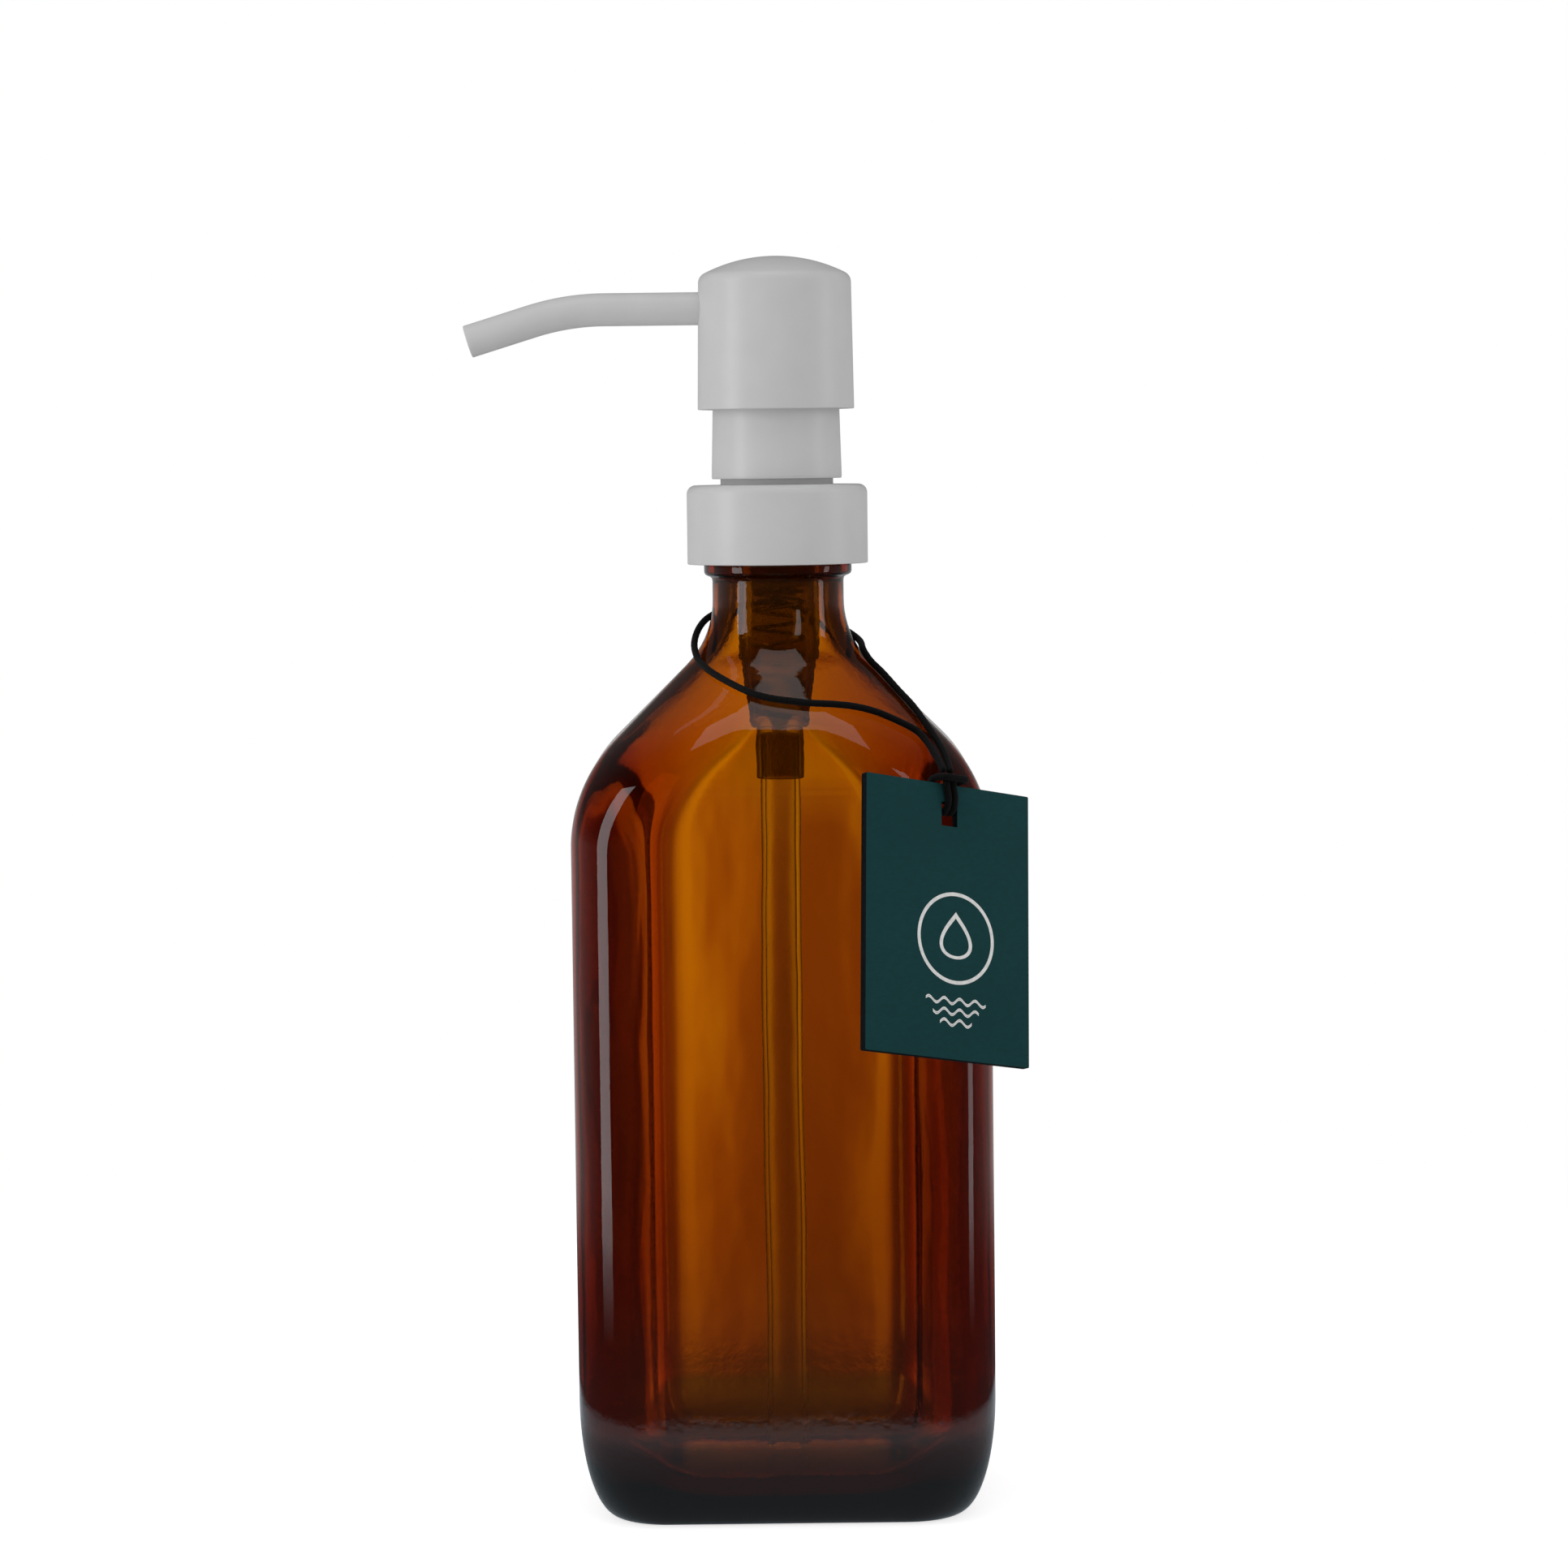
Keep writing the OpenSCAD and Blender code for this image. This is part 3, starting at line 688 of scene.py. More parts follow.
def make_bottle():
    """The glass in one skin: from under the foot up the outside, over the lip and down inside."""
    foot_x = BODY_HALF[0] - HEEL[0][0]
    foot_y = BODY_HALF[1] - HEEL[1][0]
    foot = [
        (PUSH_UP, 8, 6, 5), (PUSH_UP - 0.15, 12, 9, 6.5), (PUSH_UP - 0.4, 15, 11, 7),
        (PUSH_UP - 0.85, 18.3, 13.6, 7.4), (PUSH_UP - 1.4, 20.5, 15.5, 7.5),
        (PUSH_UP - 2.1, 23, 17.6, 7.7), (0.45, foot_x - 6, foot_y - 5.5, 8),
        (0.12, foot_x - 5.1, foot_y - 4.6, 8.3), (0, foot_x - 4.3, foot_y - 3.8, 8.5),
        (0, foot_x - 1.6, foot_y - 1.4, 8.9), (0.06, foot_x - 0.7, foot_y - 0.6, 9.2),
    ]
    rings = [box_ring(*level) for level in foot]
    heel = HEEL[0][1]
    for turn in range(8, 90, 4):
        rings.append(heel_ring(heel * (1 - math.cos(math.radians(turn)))))
    rings += [heel_ring(z) for z in steps_between(heel, SHOULDER_FROM, 4)]
    rings += [shoulder_ring(z, 0, BODY_CORNER) for z in steps_between(SHOULDER_FROM, NECK_Z, 1.2)]
    neck = len(rings)
    low, high = BEAD_Z
    bead = [
        (NECK_Z, NECK_R), (low - 0.9, NECK_R), (low - 0.35, NECK_R + 0.12),
        (low - 0.05, NECK_R + 0.5), (low + 0.1, BEAD_R - 0.55), (low + 0.35, BEAD_R - 0.18),
        (low + 0.8, BEAD_R), (high - 0.9, BEAD_R), (high - 0.35, BEAD_R - 0.3),
        (high - 0.05, FINISH_R + 0.3),
    ]
    rings += [round_ring(z, r) for z, r in bead]
    lip = 0.7
    rings += [thread_ring(z) for z in steps_between(high + 0.4, LIP_Z - lip, 0.35)]
    for turn in range(0, 91, 15):
        a = math.radians(turn)
        rings.append(round_ring(LIP_Z - lip + lip * math.sin(a), FINISH_R - lip + lip * math.cos(a)))
    for turn in range(90, -1, -15):
        a = math.radians(turn)
        rings.append(round_ring(LIP_Z - lip + lip * math.sin(a), MOUTH_R + lip - lip * math.cos(a)))
    outer = [rippled(ring, 0.05, 16.0) for ring in rings[:neck]] + rings[neck:]

    inner = [round_ring(z, MOUTH_R) for z in reversed(steps_between(NECK_Z, LIP_Z - 2, 2))]
    for z in reversed(steps_between(SHOULDER_FROM, NECK_Z, 1.5)):
        inner.append(crowned(shoulder_ring(z, WALL, INNER_CORNER), z))
    for z in reversed(steps_between(FLOOR_Z + 11.5, SHOULDER_FROM, 4)):
        inner.append(crowned(shoulder_ring(z, WALL, INNER_CORNER), z))
    for turn in range(84, -1, -7):
        inner.append(crowned(inner_heel_ring(math.radians(turn)), FLOOR_Z))
    inner.append(box_ring(FLOOR_Z - 0.35, 18, 13, 9))
    inner.append(box_ring(FLOOR_Z - 0.1, 10, 8, 6))
    inner = [rippled(ring, 0.16, 11.0) for ring in inner]
    rings = outer + inner
    points = [p for ring in rings for p in ring]
    return add_mesh("bottle_glass", points, ring_faces(len(rings), AROUND, True), GLASS, 75)


bottle = make_bottle()
place_piece(bottle, "bottle", "amber_glass", "glass_bottle")


# ---------------------------------------------------------------- pump: metal skins

COLLAR_R = 16.5
COLLAR_Z = 172.4
COLLAR_TOP = 186.8
SKIN = 0.55
HEAD_Z = 200.5
HEAD_R = 14.28
HEAD_SIDE_R = 13.93
HEAD_TOP = 228.3
DOME_R = 28.5
FILLET = 2.0
SPOUT_R = 3.0
SPOUT_Z = 218.9
SPOUT_REACH = 31.2
BEND_R = 45.0
BEND = math.radians(17)
TIP = 12.2


def arc(centre, r, start, end, steps):
    """Points of an arc from start to end, in degrees."""
    points = []
    for i in range(steps + 1):
        a = math.radians(start + (end - start) * i / steps)
        points.append(Vector((centre[0] + r * math.cos(a), centre[1] + r * math.sin(a))))
    return points


def make_collar():
    edge = 1.6
    hole = 10.7
    lip = 0.22
    centre = (COLLAR_R - edge, COLLAR_TOP - edge)
    foot = (COLLAR_R - lip, COLLAR_Z + lip)
    rim = (hole + lip, COLLAR_TOP - lip)
    outline = (
        [Vector((COLLAR_R - SKIN, COLLAR_Z + 0.05)), Vector((COLLAR_R - SKIN + 0.05, COLLAR_Z))]
        + arc(foot, lip, -90, 0, 5)
        + arc(centre, edge, 0, 90, 14)
        + arc(rim, lip, 90, 180, 4)
        + [Vector((hole, COLLAR_TOP - SKIN))]
        + arc(centre, edge - SKIN, 90, 0, 8)
    )
    return lathe("collar_skin", outline, METAL, 160)


def make_sleeve():
    foot, top = 187.9, 203.2
    corners = [
        (11.35, foot, 0.04), (11.82, foot, 0.16), (11.88, foot + 0.5, 0.3),
        (11.5, top, 0.1), (11.05, top, 0.1),
    ]
    return lathe("sleeve_skin", rounded(corners), METAL, 144)


def make_head():
    side = HEAD_SIDE_R - FILLET
    reach = DOME_R - FILLET
    dome = (0.0, HEAD_TOP - DOME_R)
    fillet = (side, dome[1] + math.sqrt(reach * reach - side * side))
    turn = math.degrees(math.atan2(fillet[1] - dome[1], fillet[0]))
    lip = 0.2
    outline = (
        [Vector((HEAD_R - SKIN, HEAD_Z + 0.05)), Vector((HEAD_R - SKIN + 0.08, HEAD_Z))]
        + arc((HEAD_R - lip, HEAD_Z + lip), lip, -90, 0, 5)
        + arc(fillet, FILLET, 0, turn, 14)
        + arc(dome, DOME_R, turn + 1.5, 89.7, 16)
        + arc(dome, DOME_R - SKIN, 89.7, turn + 1.5, 8)
        + arc(fillet, FILLET - SKIN, turn, 0, 8)
    )
    head = lathe("head_skin", outline, METAL, 168)
    cutter_r = SPOUT_R + 0.05
    sides = 48
    points = []
    for x in (-20, -5):
        for j in range(sides):
            a = 2 * math.pi * j / sides
            points.append((x, cutter_r * math.cos(a), SPOUT_Z + cutter_r * math.sin(a)))
    cutter = add_mesh("cutter", points, ring_faces(2, sides, True), METAL)
    cut = head.modifiers.new("hole", "BOOLEAN")
    cut.object = cutter
    cut.solver = "EXACT"
    apply_modifiers(head)
    bpy.data.objects.remove(cutter)
    head.data.shade_smooth()
    head.data.set_sharp_from_angle(angle=math.radians(40))
    return head


def apply_modifiers(obj):
    """Turns what the modifiers make into the object's own mesh."""
    bpy.context.view_layer.update()
    depsgraph = bpy.context.evaluated_depsgraph_get()
    made = bpy.data.meshes.new_from_object(obj.evaluated_get(depsgraph), depsgraph=depsgraph)
    obj.modifiers.clear()
    obj.data = made


def spout_line(start, cut, gap=0.8):
    """The spout's centre line, from x = -start, short of its tip by cut."""

    def bent(a):
        return Vector((-SPOUT_REACH - BEND_R * math.sin(a), 0, SPOUT_Z - BEND_R * (1 - math.cos(a))))

    line = [Vector((-x, 0, SPOUT_Z)) for x in steps_between(start, SPOUT_REACH, gap)]
    turns = 28
    for i in range(turns):
        a = BEND * i / turns
        line.append(bent(a))
    end = bent(BEND)
    along = Vector((-math.cos(BEND), 0, -math.sin(BEND)))
    line += [end + along * d for d in steps_between(0, TIP - cut, gap)]
    line.append(end + along * (TIP - cut))
    return line


def pipe(name, line, outer, inner, material, lip):
    """A pipe along a line with both ends open and their edges rounded by lip."""
    rings = []
    ease = [(0, 0), (0.3, 0.06), (0.7, 0.3), (1, 1)]
    frames = frames_along(line)
    around = 48

    def ring(at, r):
        point, u, v = at
        turns = [2 * math.pi * j / around for j in range(around)]
        return [point + r * (math.cos(t) * u + math.sin(t) * v) for t in turns]

    def shifted(at, by):
        point, u, v = at
        return point + u.cross(v) * by, u, v

    first, last = frames[0], frames[-1]
    for out, back in ease:
        rings.append(ring(shifted(first, lip * back), outer - lip * (1 - out)))
    rings += [ring(at, outer) for at in frames[1:-1]]
    for out, back in reversed(ease):
        rings.append(ring(shifted(last, -lip * back), outer - lip * (1 - out)))
    for out, back in ease:
        rings.append(ring(shifted(last, -lip * back), inner + lip * (1 - out)))
    rings += [ring(at, inner) for at in reversed(frames[1:-1])]
    for out, back in reversed(ease):
        rings.append(ring(shifted(first, lip * back), inner + lip * (1 - out)))
    points = [p for r in rings for p in r]
    return add_mesh(name, points, ring_faces(len(rings), around, False, closed=True), material, 50)


place_piece(make_collar(), "collar", "white_metal", "collar_shell")
place_piece(make_sleeve(), "pump", "white_metal", "guide_sleeve")
place_piece(make_head(), "head", "white_metal", "head_shell")
spout = pipe("spout_pipe", spout_line(7.05, 0), SPOUT_R, SPOUT_R - 0.4, METAL, 0.14)
place_piece(spout, "head", "white_metal", "spout_tube")
liner = pipe("spout_lining", spout_line(5.25, 0.6), SPOUT_R - 0.46, 1.77, PLASTIC, 0.12)
place_piece(liner, "head", "white_plastic", "spout_liner")


# ---------------------------------------------------------------- pump: plastic parts


def make_insert():
    """The screw ring inside the skin, without its thread."""
    corners = [
        (14, COLLAR_Z + 0.5, 0.2), (15.88, COLLAR_Z + 0.5, 0.2), (15.88, 185.05, 0.3), (14.8, 186.15, 0.3),
        (10.6, 186.15, 0.15), (10.6, 184.95, 0.1), (14, 184.95, 0.2),
    ]
    return lathe("collar_ring", rounded(corners), PLASTIC, 128)


def make_thread():
    """The internal thread, one ridge that runs nearly a full turn."""
    points = []
    steps = 110
    root = 14.3
    section = [
        (root, -1.1), (13.25, -0.55), (13.05, -0.35), (13, 0),
        (13.05, 0.35), (13.25, 0.55), (root, 1.1),
    ]
    for i in range(steps + 1):
        degrees = 60 + 330 * i / steps
        fade = clamp(min(i, steps - i) / 6, 0.05, 1)
        a = math.radians(degrees)
        z = THREAD_Z - 1.7 + PITCH * degrees / 360
        for r, up in section:
            r = root - (root - r) * fade
            points.append((r * math.cos(a), r * math.sin(a), z + up * (0.4 + 0.6 * fade)))
    return add_mesh("collar_thread", points, ring_faces(steps + 1, len(section), True), PLASTIC, 45)


def make_housing():
    flange, seat, step = 183.6, 144.4, 178.1
    corners = [
        (6.5, 184.8, 0.1), (12, 184.8, 0.25), (12, flange, 0.25), (7.35, flange, 0.4),
        (7.35, 153.7, 0.3), (6.9, 153.3, 0.25), (6.9, seat, 0.6), (5.4, 142.9, 0.5),
        (4.6, 142.9, 0.4), (4.6, 133.1, 0.25), (3.98, 133.1, 0.15), (3.98, 141.6, 0.1),
        (1.6, 141.6, 0.1), (1.6, seat - 1.8, 0.1), (3.4, seat, 0.2), (6, seat, 0.15),
        (6, step, 0.1), (6.5, step, 0.1),
    ]
    return lathe("pump_cylinder", rounded(corners, 4), MILKY, 96)


def make_dip_tube():
    top, low, r = 141.5, 7.3, 3.9
    line = [Vector((0, 0, z)) for z in steps_between(low, top, 2.5)] + [Vector((0, 0, top))]
    return pipe("dip_pipe", line, r, r - 1, CLEAR, 0.12)


def make_chaplet():
    corners = [
        (3.98, 178.2, 0.1), (6.45, 178.2, 0.15), (6.45, 184.85, 0.1), (10.3, 184.85, 0.1),
        (10.3, 187.95, 0.12), (11.3, 187.95, 0.1), (10.97, 202.6, 0.2), (10.2, 202.6, 0.2),
        (10.2, 190, 0.3), (8.2, 190, 0.3), (8.2, 202.6, 0.3), (6.8, 202.6, 0.3),
        (6.8, 195.5, 0.2), (3.98, 195.5, 0.1),
    ]
    return lathe("lock_ring", rounded(corners, 3), METAL, 128)


place_piece(make_insert(), "collar", "white_plastic", "collar_insert")
place_piece(make_thread(), "collar", "white_plastic", "collar_insert")
place_piece(make_housing(), "pump", "clear_plastic", "pump_housing")
place_piece(make_dip_tube(), "pump", "clear_plastic", "dip_tube")
place_piece(make_chaplet(), "pump", "white_metal", "chaplet")


# ---------------------------------------------------------------- tag

TAG_W = 35.0
TAG_H = 49.0
TAG_T = 1.6
HOLE = (3.3, 4.2)
HOLE_AT = (0.25, -5.4)


def make_tag():
    """The card with slightly rounded edges and a rectangular hole."""
    left, right = HOLE_AT[0] - HOLE[0] / 2, HOLE_AT[0] + HOLE[0] / 2
    low, high = HOLE_AT[1] - HOLE[1] / 2, HOLE_AT[1] + HOLE[1] / 2
    soft = 0.09
    corner = 0.25

    def loop(x0, x1, z0, z1, r, y):
        points = []
        centres = ((x1 - r, z1 - r), (x0 + r, z1 - r), (x0 + r, z0 + r), (x1 - r, z0 + r))
        for q, (cx, cz) in enumerate(centres):
            for i in range(4):
                a = math.radians(90 * q + 30 * i)
                points.append(Vector((cx + r * math.cos(a), y, cz + r * math.sin(a))))
        return points

    half = TAG_W / 2
    ease = 0.03
    levels = [
        (0, soft), (ease, ease), (soft, 0),
        (TAG_T - soft, 0), (TAG_T - ease, ease), (TAG_T, soft),
    ]
    outer = [loop(-half + d, half - d, -TAG_H + d, -d, corner, y) for y, d in levels]
    inner = [loop(left - d, right + d, low - d, high + d, 0.12, y) for y, d in levels]
    around = len(outer[0])
    points = [p for ring in outer + inner for p in ring]
    count = len(levels)
    faces = []
    for i in range(count - 1):
        for j in range(around):
            k = (j + 1) % around
            a, b = i * around, (i + 1) * around
            faces.append((a + j, b + j, b + k, a + k))
            c, d = (count + i) * around, (count + i + 1) * around
            faces.append((c + j, c + k, d + k, d + j))
    last = (count - 1) * around
    rim = count * around
    for j in range(around):
        k = (j + 1) % around
        faces.append((j, k, rim + k, rim + j))
        faces.append((last + j, last + rim + j, last + rim + k, last + k))
    tag = add_mesh("tag_card", [TAG_FRAME @ p for p in points], faces, CARD, 50)
    tag.data.materials.append(CARD_EDGE)
    across = TAG_TURN.to_3x3() @ Vector((0, 1, 0))
    for face in tag.data.polygons:
        if abs(face.normal.dot(across)) < 0.7:
            face.material_index = 1
    return tag


def drop_outline(size, steps):
    """A falling drop: a round foot that draws up to a point."""
    points = []
    for i in range(steps):
        t = 2 * math.pi * i / steps
        across = size * 0.56 * math.sin(t) * math.sin(t / 2) ** 1.2
        points.append(Vector((across, size * 0.5 * math.cos(t))))
    return points


def flat_ring(outer, inner, at, thick=0.035):
    """Points and faces of a thin raised ring between two outlines on the tag's front."""
    points = []
    for outline in (outer, inner):
        for level in (-0.02, thick):
            points += [on_tag(at[0] + p.x, level, at[1] + p.y) for p in outline]
    n = len(outer)
    faces = []
    for j in range(n):
        k = (j + 1) % n
        base_out, top_out, base_in, top_in = 0, n, 2 * n, 3 * n
        faces.append((base_out + j, base_out + k, top_out + k, top_out + j))
        faces.append((top_out + j, top_out + k, top_in + k, top_in + j))
        faces.append((top_in + j, top_in + k, base_in + k, base_in + j))
        faces.append((base_in + j, base_in + k, base_out + k, base_out + j))
    return points, faces


def make_print():
    """A generic mark: a drop in a ring over three waves, in white ink."""
    centre = (1.6, -27.5)
    points, faces = [], []

    def add(made):
        start = len(points)
        points.extend(made[0])
        faces.extend([tuple(start + i for i in face) for face in made[1]])

    steps = 72
    turns = [2 * math.pi * i / steps for i in range(steps)]
    circle = [Vector((math.sin(t), math.cos(t))) for t in turns]
    add(flat_ring([p * 8.2 for p in circle], [p * 7.55 for p in circle], centre))
    drop = drop_outline(8.4, steps)
    inside = [Vector((p.x * 0.8, p.y * 0.8 - 0.28)) for p in drop]
    add(flat_ring(drop, inside, (centre[0], centre[1] + 0.5)))
    waves = 3
    half_line = Vector((0, 0.26))
    along = steps // 2

    def swell(x):
        return 0.5 * math.sin(x * 1.9)

    for row in range(waves):
        half_w = 6.4 - 1.5 * row
        line = []
        for i in range(along):
            x = -half_w + 2 * half_w * i / (along - 1)
            line.append(Vector((x, swell(x))))
        outline = [p + half_line for p in line] + [p - half_line for p in reversed(line)]
        core = [Vector((p.x * 0.985, (p.y - swell(p.x)) * 0.1 + swell(p.x))) for p in outline]
        add(flat_ring(outline, core, (centre[0], centre[1] - 11.2 - 1.9 * row)))
    return add_mesh("tag_print", points, faces, INK, 30)


place_piece(make_tag(), "tag", "tag_card", "hang_tag")
place_piece(make_print(), "tag", "tag_card")


# ---------------------------------------------------------------- CAD pieces that show as they are

CAD_FINISH = {
    "neck_gasket": PLASTIC,
    "inlet_ball": BALL_STEEL,
    "ball_retainer": PLASTIC,
    "return_spring": SPRING_STEEL,
    "stem_tip": PLASTIC,
    "piston_seal": PLASTIC,
    "pump_stem": PLASTIC,
    "discharge_ball": BALL_STEEL,
    "head_core": PLASTIC,
}
for node_name, finish in CAD_FINISH.items():
    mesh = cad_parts[node_name].data
    mesh.materials.clear()
    mesh.materials.append(finish)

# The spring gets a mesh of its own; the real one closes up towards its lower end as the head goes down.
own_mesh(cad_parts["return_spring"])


# ---------------------------------------------------------------- floor, world and lights


def make_floor():
    """A pale table top that melts into the white around it. Rays through the glass see only a painted
    contact shadow of it under the bottle, a faint glow of its own that is darkest at the middle. In
    reflections it gives off a painted bluish light that ends 13 cm out; other rays see a painted grey light
    with painted shade towards the middle."""
    radius, edge, thick = 420.0, 4.0, 12.0
    top, middle = -0.02, 0.01
    outline = [Vector((middle, top)), Vector((radius - edge, top))]
    outline += arc((radius - edge, top - edge), edge, 90, -90, 8)[1:]
    outline += [Vector((radius - edge, -thick)), Vector((middle, -thick))]
    paint = Paint("pale_floor", Roughness=0.7, Specular_IOR_Level=0.2)
    clouds = paint.noise(9, 3)
    paint.colour(clouds, "Fac", [(0.3, (0.76, 0.76, 0.765)), (0.7, (0.8, 0.8, 0.8))])
    paint.shader.inputs["Emission Color"].default_value = (1, 1, 1, 1)
    paint.shader.inputs["Emission Strength"].default_value = 0.72
    reach = paint.tree.nodes.new("ShaderNodeVectorMath")
    reach.operation = "LENGTH"
    paint.link(paint.place, "Object", reach, 0)
    share = paint.to_range(reach, "Value", 0, 1, 0, radius * MM)

    def glow(stops, tint=(1, 1, 1)):
        """Light of its own by the distance out, in millimetres."""
        colours = [(r / radius, [level * part for part in tint]) for r, level in stops]
        ramp = paint.ramp(share, 0, colours)
        node = paint.node("Emission")
        paint.link(ramp, "Color", node, "Color")
        return node

    seen = paint.node("LightPath")

    def choose(kind, other, chosen):
        mix = paint.node("MixShader")
        paint.link(seen, kind, mix, 0)
        paint.tree.links.new(other.outputs[0], mix.inputs[1])
        paint.tree.links.new(chosen.outputs[0], mix.inputs[2])
        return mix

    # Painted contact shadow: the floor's own dark glow under the bottle, seen through the glass.
    painted_contact_shadow = glow([(20, 0.03), (55, 0.06), (80, 0.1)])
    # Painted reflection: the floor itself glows with a bluish ring of light that only glossy rays see.
    near_light = [(30, 0.3), (50, 0.3), (70, 0.4), (92, 0.62), (112, 0.55), (126, 0.08), (300, 0.03)]
    gloss = glow(near_light, (0.8, 0.92, 1))
    # Painted light and shade: a grey glow of the floor's own that lights things from below, dimmer towards
    # the middle.
    spread = glow([(40, 0.4), (200, 0.6)])
    clear = paint.node("BsdfTransparent")
    near = paint.node("MixShader")
    paint.link(paint.to_range(reach, "Value", 0, 1, 0.055, 0.085), 0, near, 0)
    paint.link(painted_contact_shadow, 0, near, 1)
    paint.link(clear, 0, near, 2)
    surface = choose("Is Glossy Ray", spread, gloss)
    surface = choose("Is Transmission Ray", surface, near)
    surface = choose("Is Camera Ray", surface, paint.shader)
    solid = paint.to_range(reach, "Value", 0, 1, 0.2, 0.4)
    fade = paint.node("MixShader")
    paint.link(solid, 0, fade, 0)
    paint.link(surface, 0, fade, 1)
    paint.link(clear, 0, fade, 2)
    paint.link(fade, 0, paint.out, "Surface")
    floor = lathe("floor", outline, paint.material, 96)


class Sky:
    """The world's nodes: light by direction, apart for each kind of ray."""

    def __init__(self):
        world = bpy.data.worlds.new("studio")
        bpy.context.scene.world = world
        world.use_nodes = True
        self.tree = world.node_tree
        self.tree.nodes.clear()
        self.out = self.tree.nodes.new("ShaderNodeOutputWorld")
        self.path = self.tree.nodes.new("ShaderNodeLightPath")
        where = self.tree.nodes.new("ShaderNodeTexCoord")
        axes = self.tree.nodes.new("ShaderNodeSeparateXYZ")
        self.tree.links.new(where.outputs["Generated"], axes.inputs[0])
        turn = self.math("ARCTAN2", axes.outputs["X"], axes.outputs["Y"])
        rise = self.math("ARCSINE", axes.outputs["Z"])
        self.turn = turn.outputs[0]
        self.rise = rise.outputs[0]

    def math(self, operation, *sources):
        node = self.tree.nodes.new("ShaderNodeMath")
        node.operation = operation
        for i, source in enumerate(sources):
            self.tree.links.new(source, node.inputs[i])
        return node

    def by_angle(self, angle, span, stops, smooth="LINEAR"):
        """A ramp over the span of degrees round 0; each stop is (degrees, red, green, blue)."""
        share = self.tree.nodes.new("ShaderNodeMapRange")
        share.inputs["From Min"].default_value = math.radians(-span / 2)
        share.inputs["From Max"].default_value = math.radians(span / 2)
        self.tree.links.new(angle, share.inputs["Value"])
        ramp = self.tree.nodes.new("ShaderNodeValToRGB")
        ramp.color_ramp.interpolation = smooth
        fill_ramp(ramp, [(0.5 + degrees / span, light) for degrees, *light in stops])
        self.tree.links.new(share.outputs[0], ramp.inputs["Fac"])
        return ramp.outputs["Color"]

    def join(self, operation, one, other):
        """The sum or the product of two colours."""
        node = self.tree.nodes.new("ShaderNodeVectorMath")
        node.operation = operation
        self.tree.links.new(one, node.inputs[0])
        self.tree.links.new(other, node.inputs[1])
        return node.outputs[0]

    def glow(self, colour):
        """A Background shader of one colour, or of a socket's colour."""
        node = self.tree.nodes.new("ShaderNodeBackground")
        if isinstance(colour, tuple):
            node.inputs["Color"].default_value = (*colour, 1)
        else:
            self.tree.links.new(colour, node.inputs["Color"])
        return node.outputs[0]

    def choose(self, kind, other, chosen):
        """chosen for rays of that kind, and other for the rest."""
        node = self.tree.nodes.new("ShaderNodeMixShader")
        self.tree.links.new(self.path.outputs[kind], node.inputs["Fac"])
        self.tree.links.new(other, node.inputs[1])
        self.tree.links.new(chosen, node.inputs[2])
        return node.outputs[0]


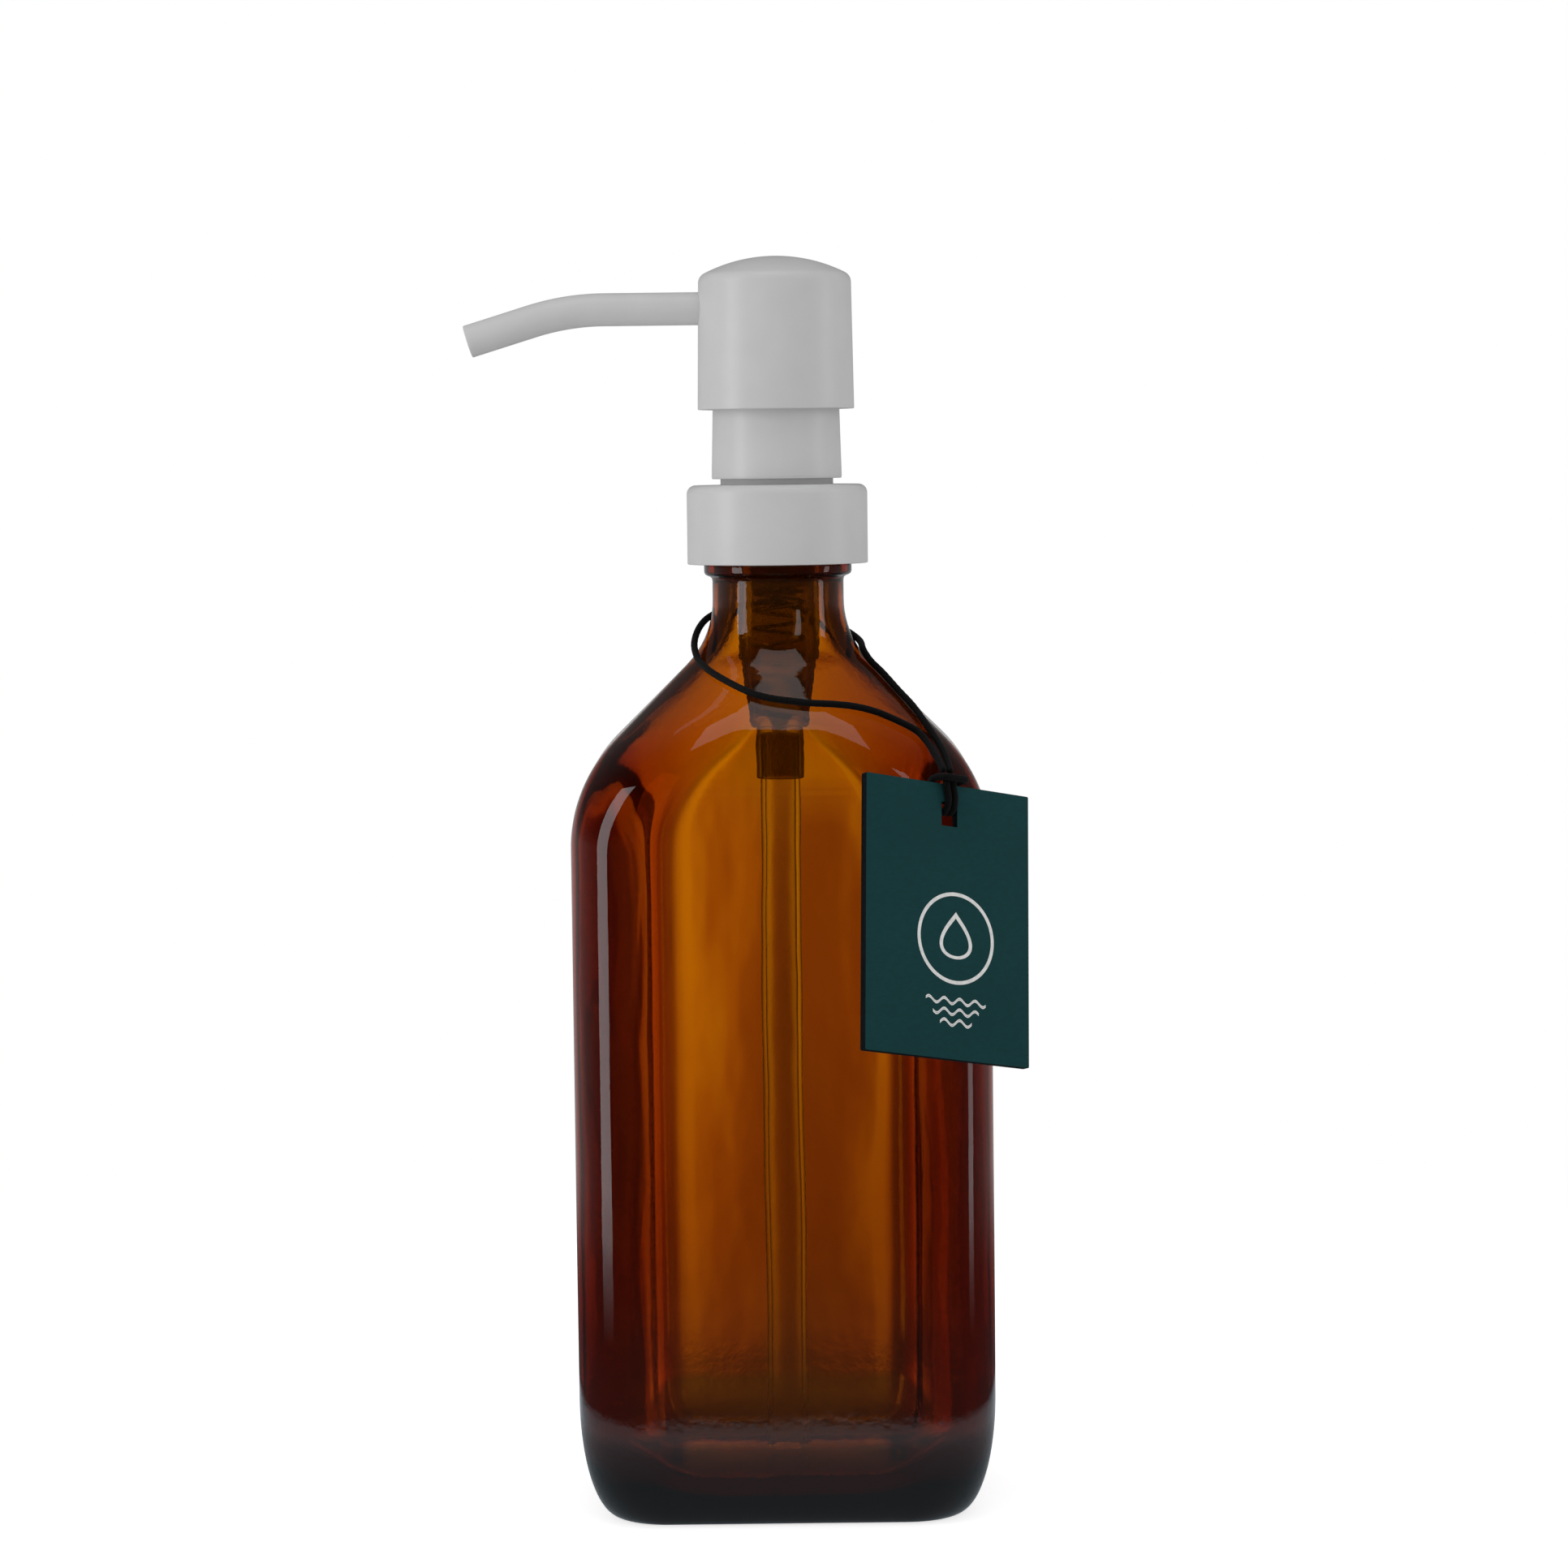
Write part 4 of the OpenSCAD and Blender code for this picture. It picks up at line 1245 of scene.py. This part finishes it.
def make_world():
    """White to the camera. Through the glass, a window behind the bottle with two bright
    lobes, dark beside it, and dimmer windows all round. In its gloss, a dark front."""
    sky = Sky()

    def grey(degrees, level):
        return (degrees, level, level, level)

    window = [
        grey(-32, 0), grey(-20.5, 0.02), (-18.5, 0.16, 0.13, 0.12), (-17, 0.42, 0.42, 0.38),
        (-15, 0.6, 0.64, 0.55), (-12, 0.76, 0.85, 0.7), (-7, 0.92, 1, 0.85), (-4.3, 0.95, 1, 0.85),
        (-3.5, 0.9, 0.93, 0.8), (-2.8, 0.76, 0.7, 0.65), (-2.2, 0.6, 0.44, 0.4), (-1.5, 0.44, 0.27, 0.25),
        (-0.8, 0.37, 0.2, 0.2), (0.2, 0.34, 0.18, 0.17), (1.3, 0.31, 0.16, 0.14), (2.1, 0.35, 0.2, 0.17),
        (2.8, 0.45, 0.32, 0.27), (3.9, 0.7, 0.7, 0.65), (8, 0.74, 0.78, 0.7), (12, 0.55, 0.52, 0.45),
        (15, 0.36, 0.3, 0.28), (18, 0.1, 0.07, 0.07), grey(20.5, 0.02), grey(32, 0),
    ]
    around = [
        grey(-180, 0.4), grey(-125, 0.5), grey(-100, 0.55), grey(-80, 0.3), grey(-66, 0.05), grey(0, 0.03),
        grey(66, 0.05), grey(80, 0.3), grey(100, 0.55), grey(125, 0.5), grey(180, 0.4),
    ]
    slope = [
        grey(-30, 0.25), grey(-14, 0.1), (-12.2, 0.2, 0.13, 0.12), (-11.8, 0.28, 0.18, 0.15),
        (-11.4, 0.38, 0.26, 0.22), (-11, 0.48, 0.34, 0.3), (-10.2, 0.6, 0.45, 0.4),
        (-9.4, 0.68, 0.54, 0.5), (-8.5, 0.77, 0.66, 0.6), (-7.7, 0.88, 0.82, 0.8),
        (-6.9, 0.97, 0.94, 0.9), grey(-6, 1), grey(0, 1), grey(6, 0.6), grey(13, 0.25), grey(30, 0.15),
    ]
    high = [grey(-30, 0), grey(-5.2, 0), grey(-4, 1), grey(30, 1)]
    fill = [
        grey(-32, 0), grey(-3, 0), (-1.6, 0.1, 0.2, 0.18), (0.2, 0.26, 0.34, 0.3),
        (2.1, 0.28, 0.34, 0.3), (3.9, 0.04, 0.04, 0.04), grey(6, 0), grey(32, 0),
    ]
    gloss = [
        grey(-180, 0.02), grey(-130, 0.02), grey(-112, 0.05), grey(-88, 0.12), grey(-60, 0.3), grey(0, 0.5),
        grey(45, 0.3), grey(80, 0.12), grey(112, 0.05), grey(130, 0.02), grey(180, 0.02),
    ]
    lobes = sky.by_angle(sky.turn, 64, window)
    upper = sky.join("MULTIPLY", sky.by_angle(sky.turn, 64, fill), sky.by_angle(sky.rise, 60, high))
    behind = sky.join("MULTIPLY", sky.join("ADD", lobes, upper), sky.by_angle(sky.rise, 60, slope))
    through = sky.join("ADD", behind, sky.by_angle(sky.turn, 360, around, "B_SPLINE"))
    lower = [grey(-30, 1), grey(1, 1), grey(5, 0.5), grey(12, 0.2), grey(30, 0.2)]
    mirrored = sky.by_angle(sky.turn, 360, gloss, "B_SPLINE")
    shine = sky.glow(sky.join("MULTIPLY", mirrored, sky.by_angle(sky.rise, 60, lower)))
    studio = sky.choose("Is Glossy Ray", sky.glow((0.5, 0.5, 0.5)), shine)
    studio = sky.choose("Is Transmission Ray", studio, sky.glow(through))
    studio = sky.choose("Is Camera Ray", studio, sky.glow((1, 1, 1)))
    sky.tree.links.new(studio, sky.out.inputs["Surface"])


LIT_POINT = Vector((0, 0, 0.13))


def softbox(name, azimuth, height, distance, width, tall, level, colour=(1, 1, 1)):
    """A softbox that faces the object. Azimuth 0 is the camera's side and 90 the right.
    level is how bright its face is beside the white background."""
    data = bpy.data.lights.new(name, "AREA")
    data.shape = "RECTANGLE"
    data.size = width
    data.size_y = tall
    data.energy = level * math.pi * width * tall
    data.color = colour
    data.spread = math.pi
    light = bpy.data.objects.new(name, data)
    a = math.radians(azimuth)
    light.location = (distance * math.sin(a), -distance * math.cos(a), height)
    aim = LIT_POINT - light.location
    light.rotation_euler = aim.to_track_quat("-Z", "Y").to_euler()
    bpy.context.scene.collection.objects.link(light)


make_floor()
make_world()
softbox("left_strip", -67, 0.2, 0.9, 0.3, 1.0, 2.4, (1, 0.97, 1))
softbox("right_strip", 82, 0.2, 0.9, 0.16, 1.0, 1.5, (1, 0.97, 1))
softbox("right_high", 36, 0.55, 0.9, 0.16, 0.5, 1.3)
softbox("top", 0, 1.1, 0.25, 0.7, 0.5, 0.9)

view = bpy.context.scene.view_settings
view.view_transform = "Standard"
view.look = "None"
bpy.context.scene.cycles.max_bounces = 24
bpy.context.scene.cycles.transmission_bounces = 24
bpy.context.scene.cycles.glossy_bounces = 8
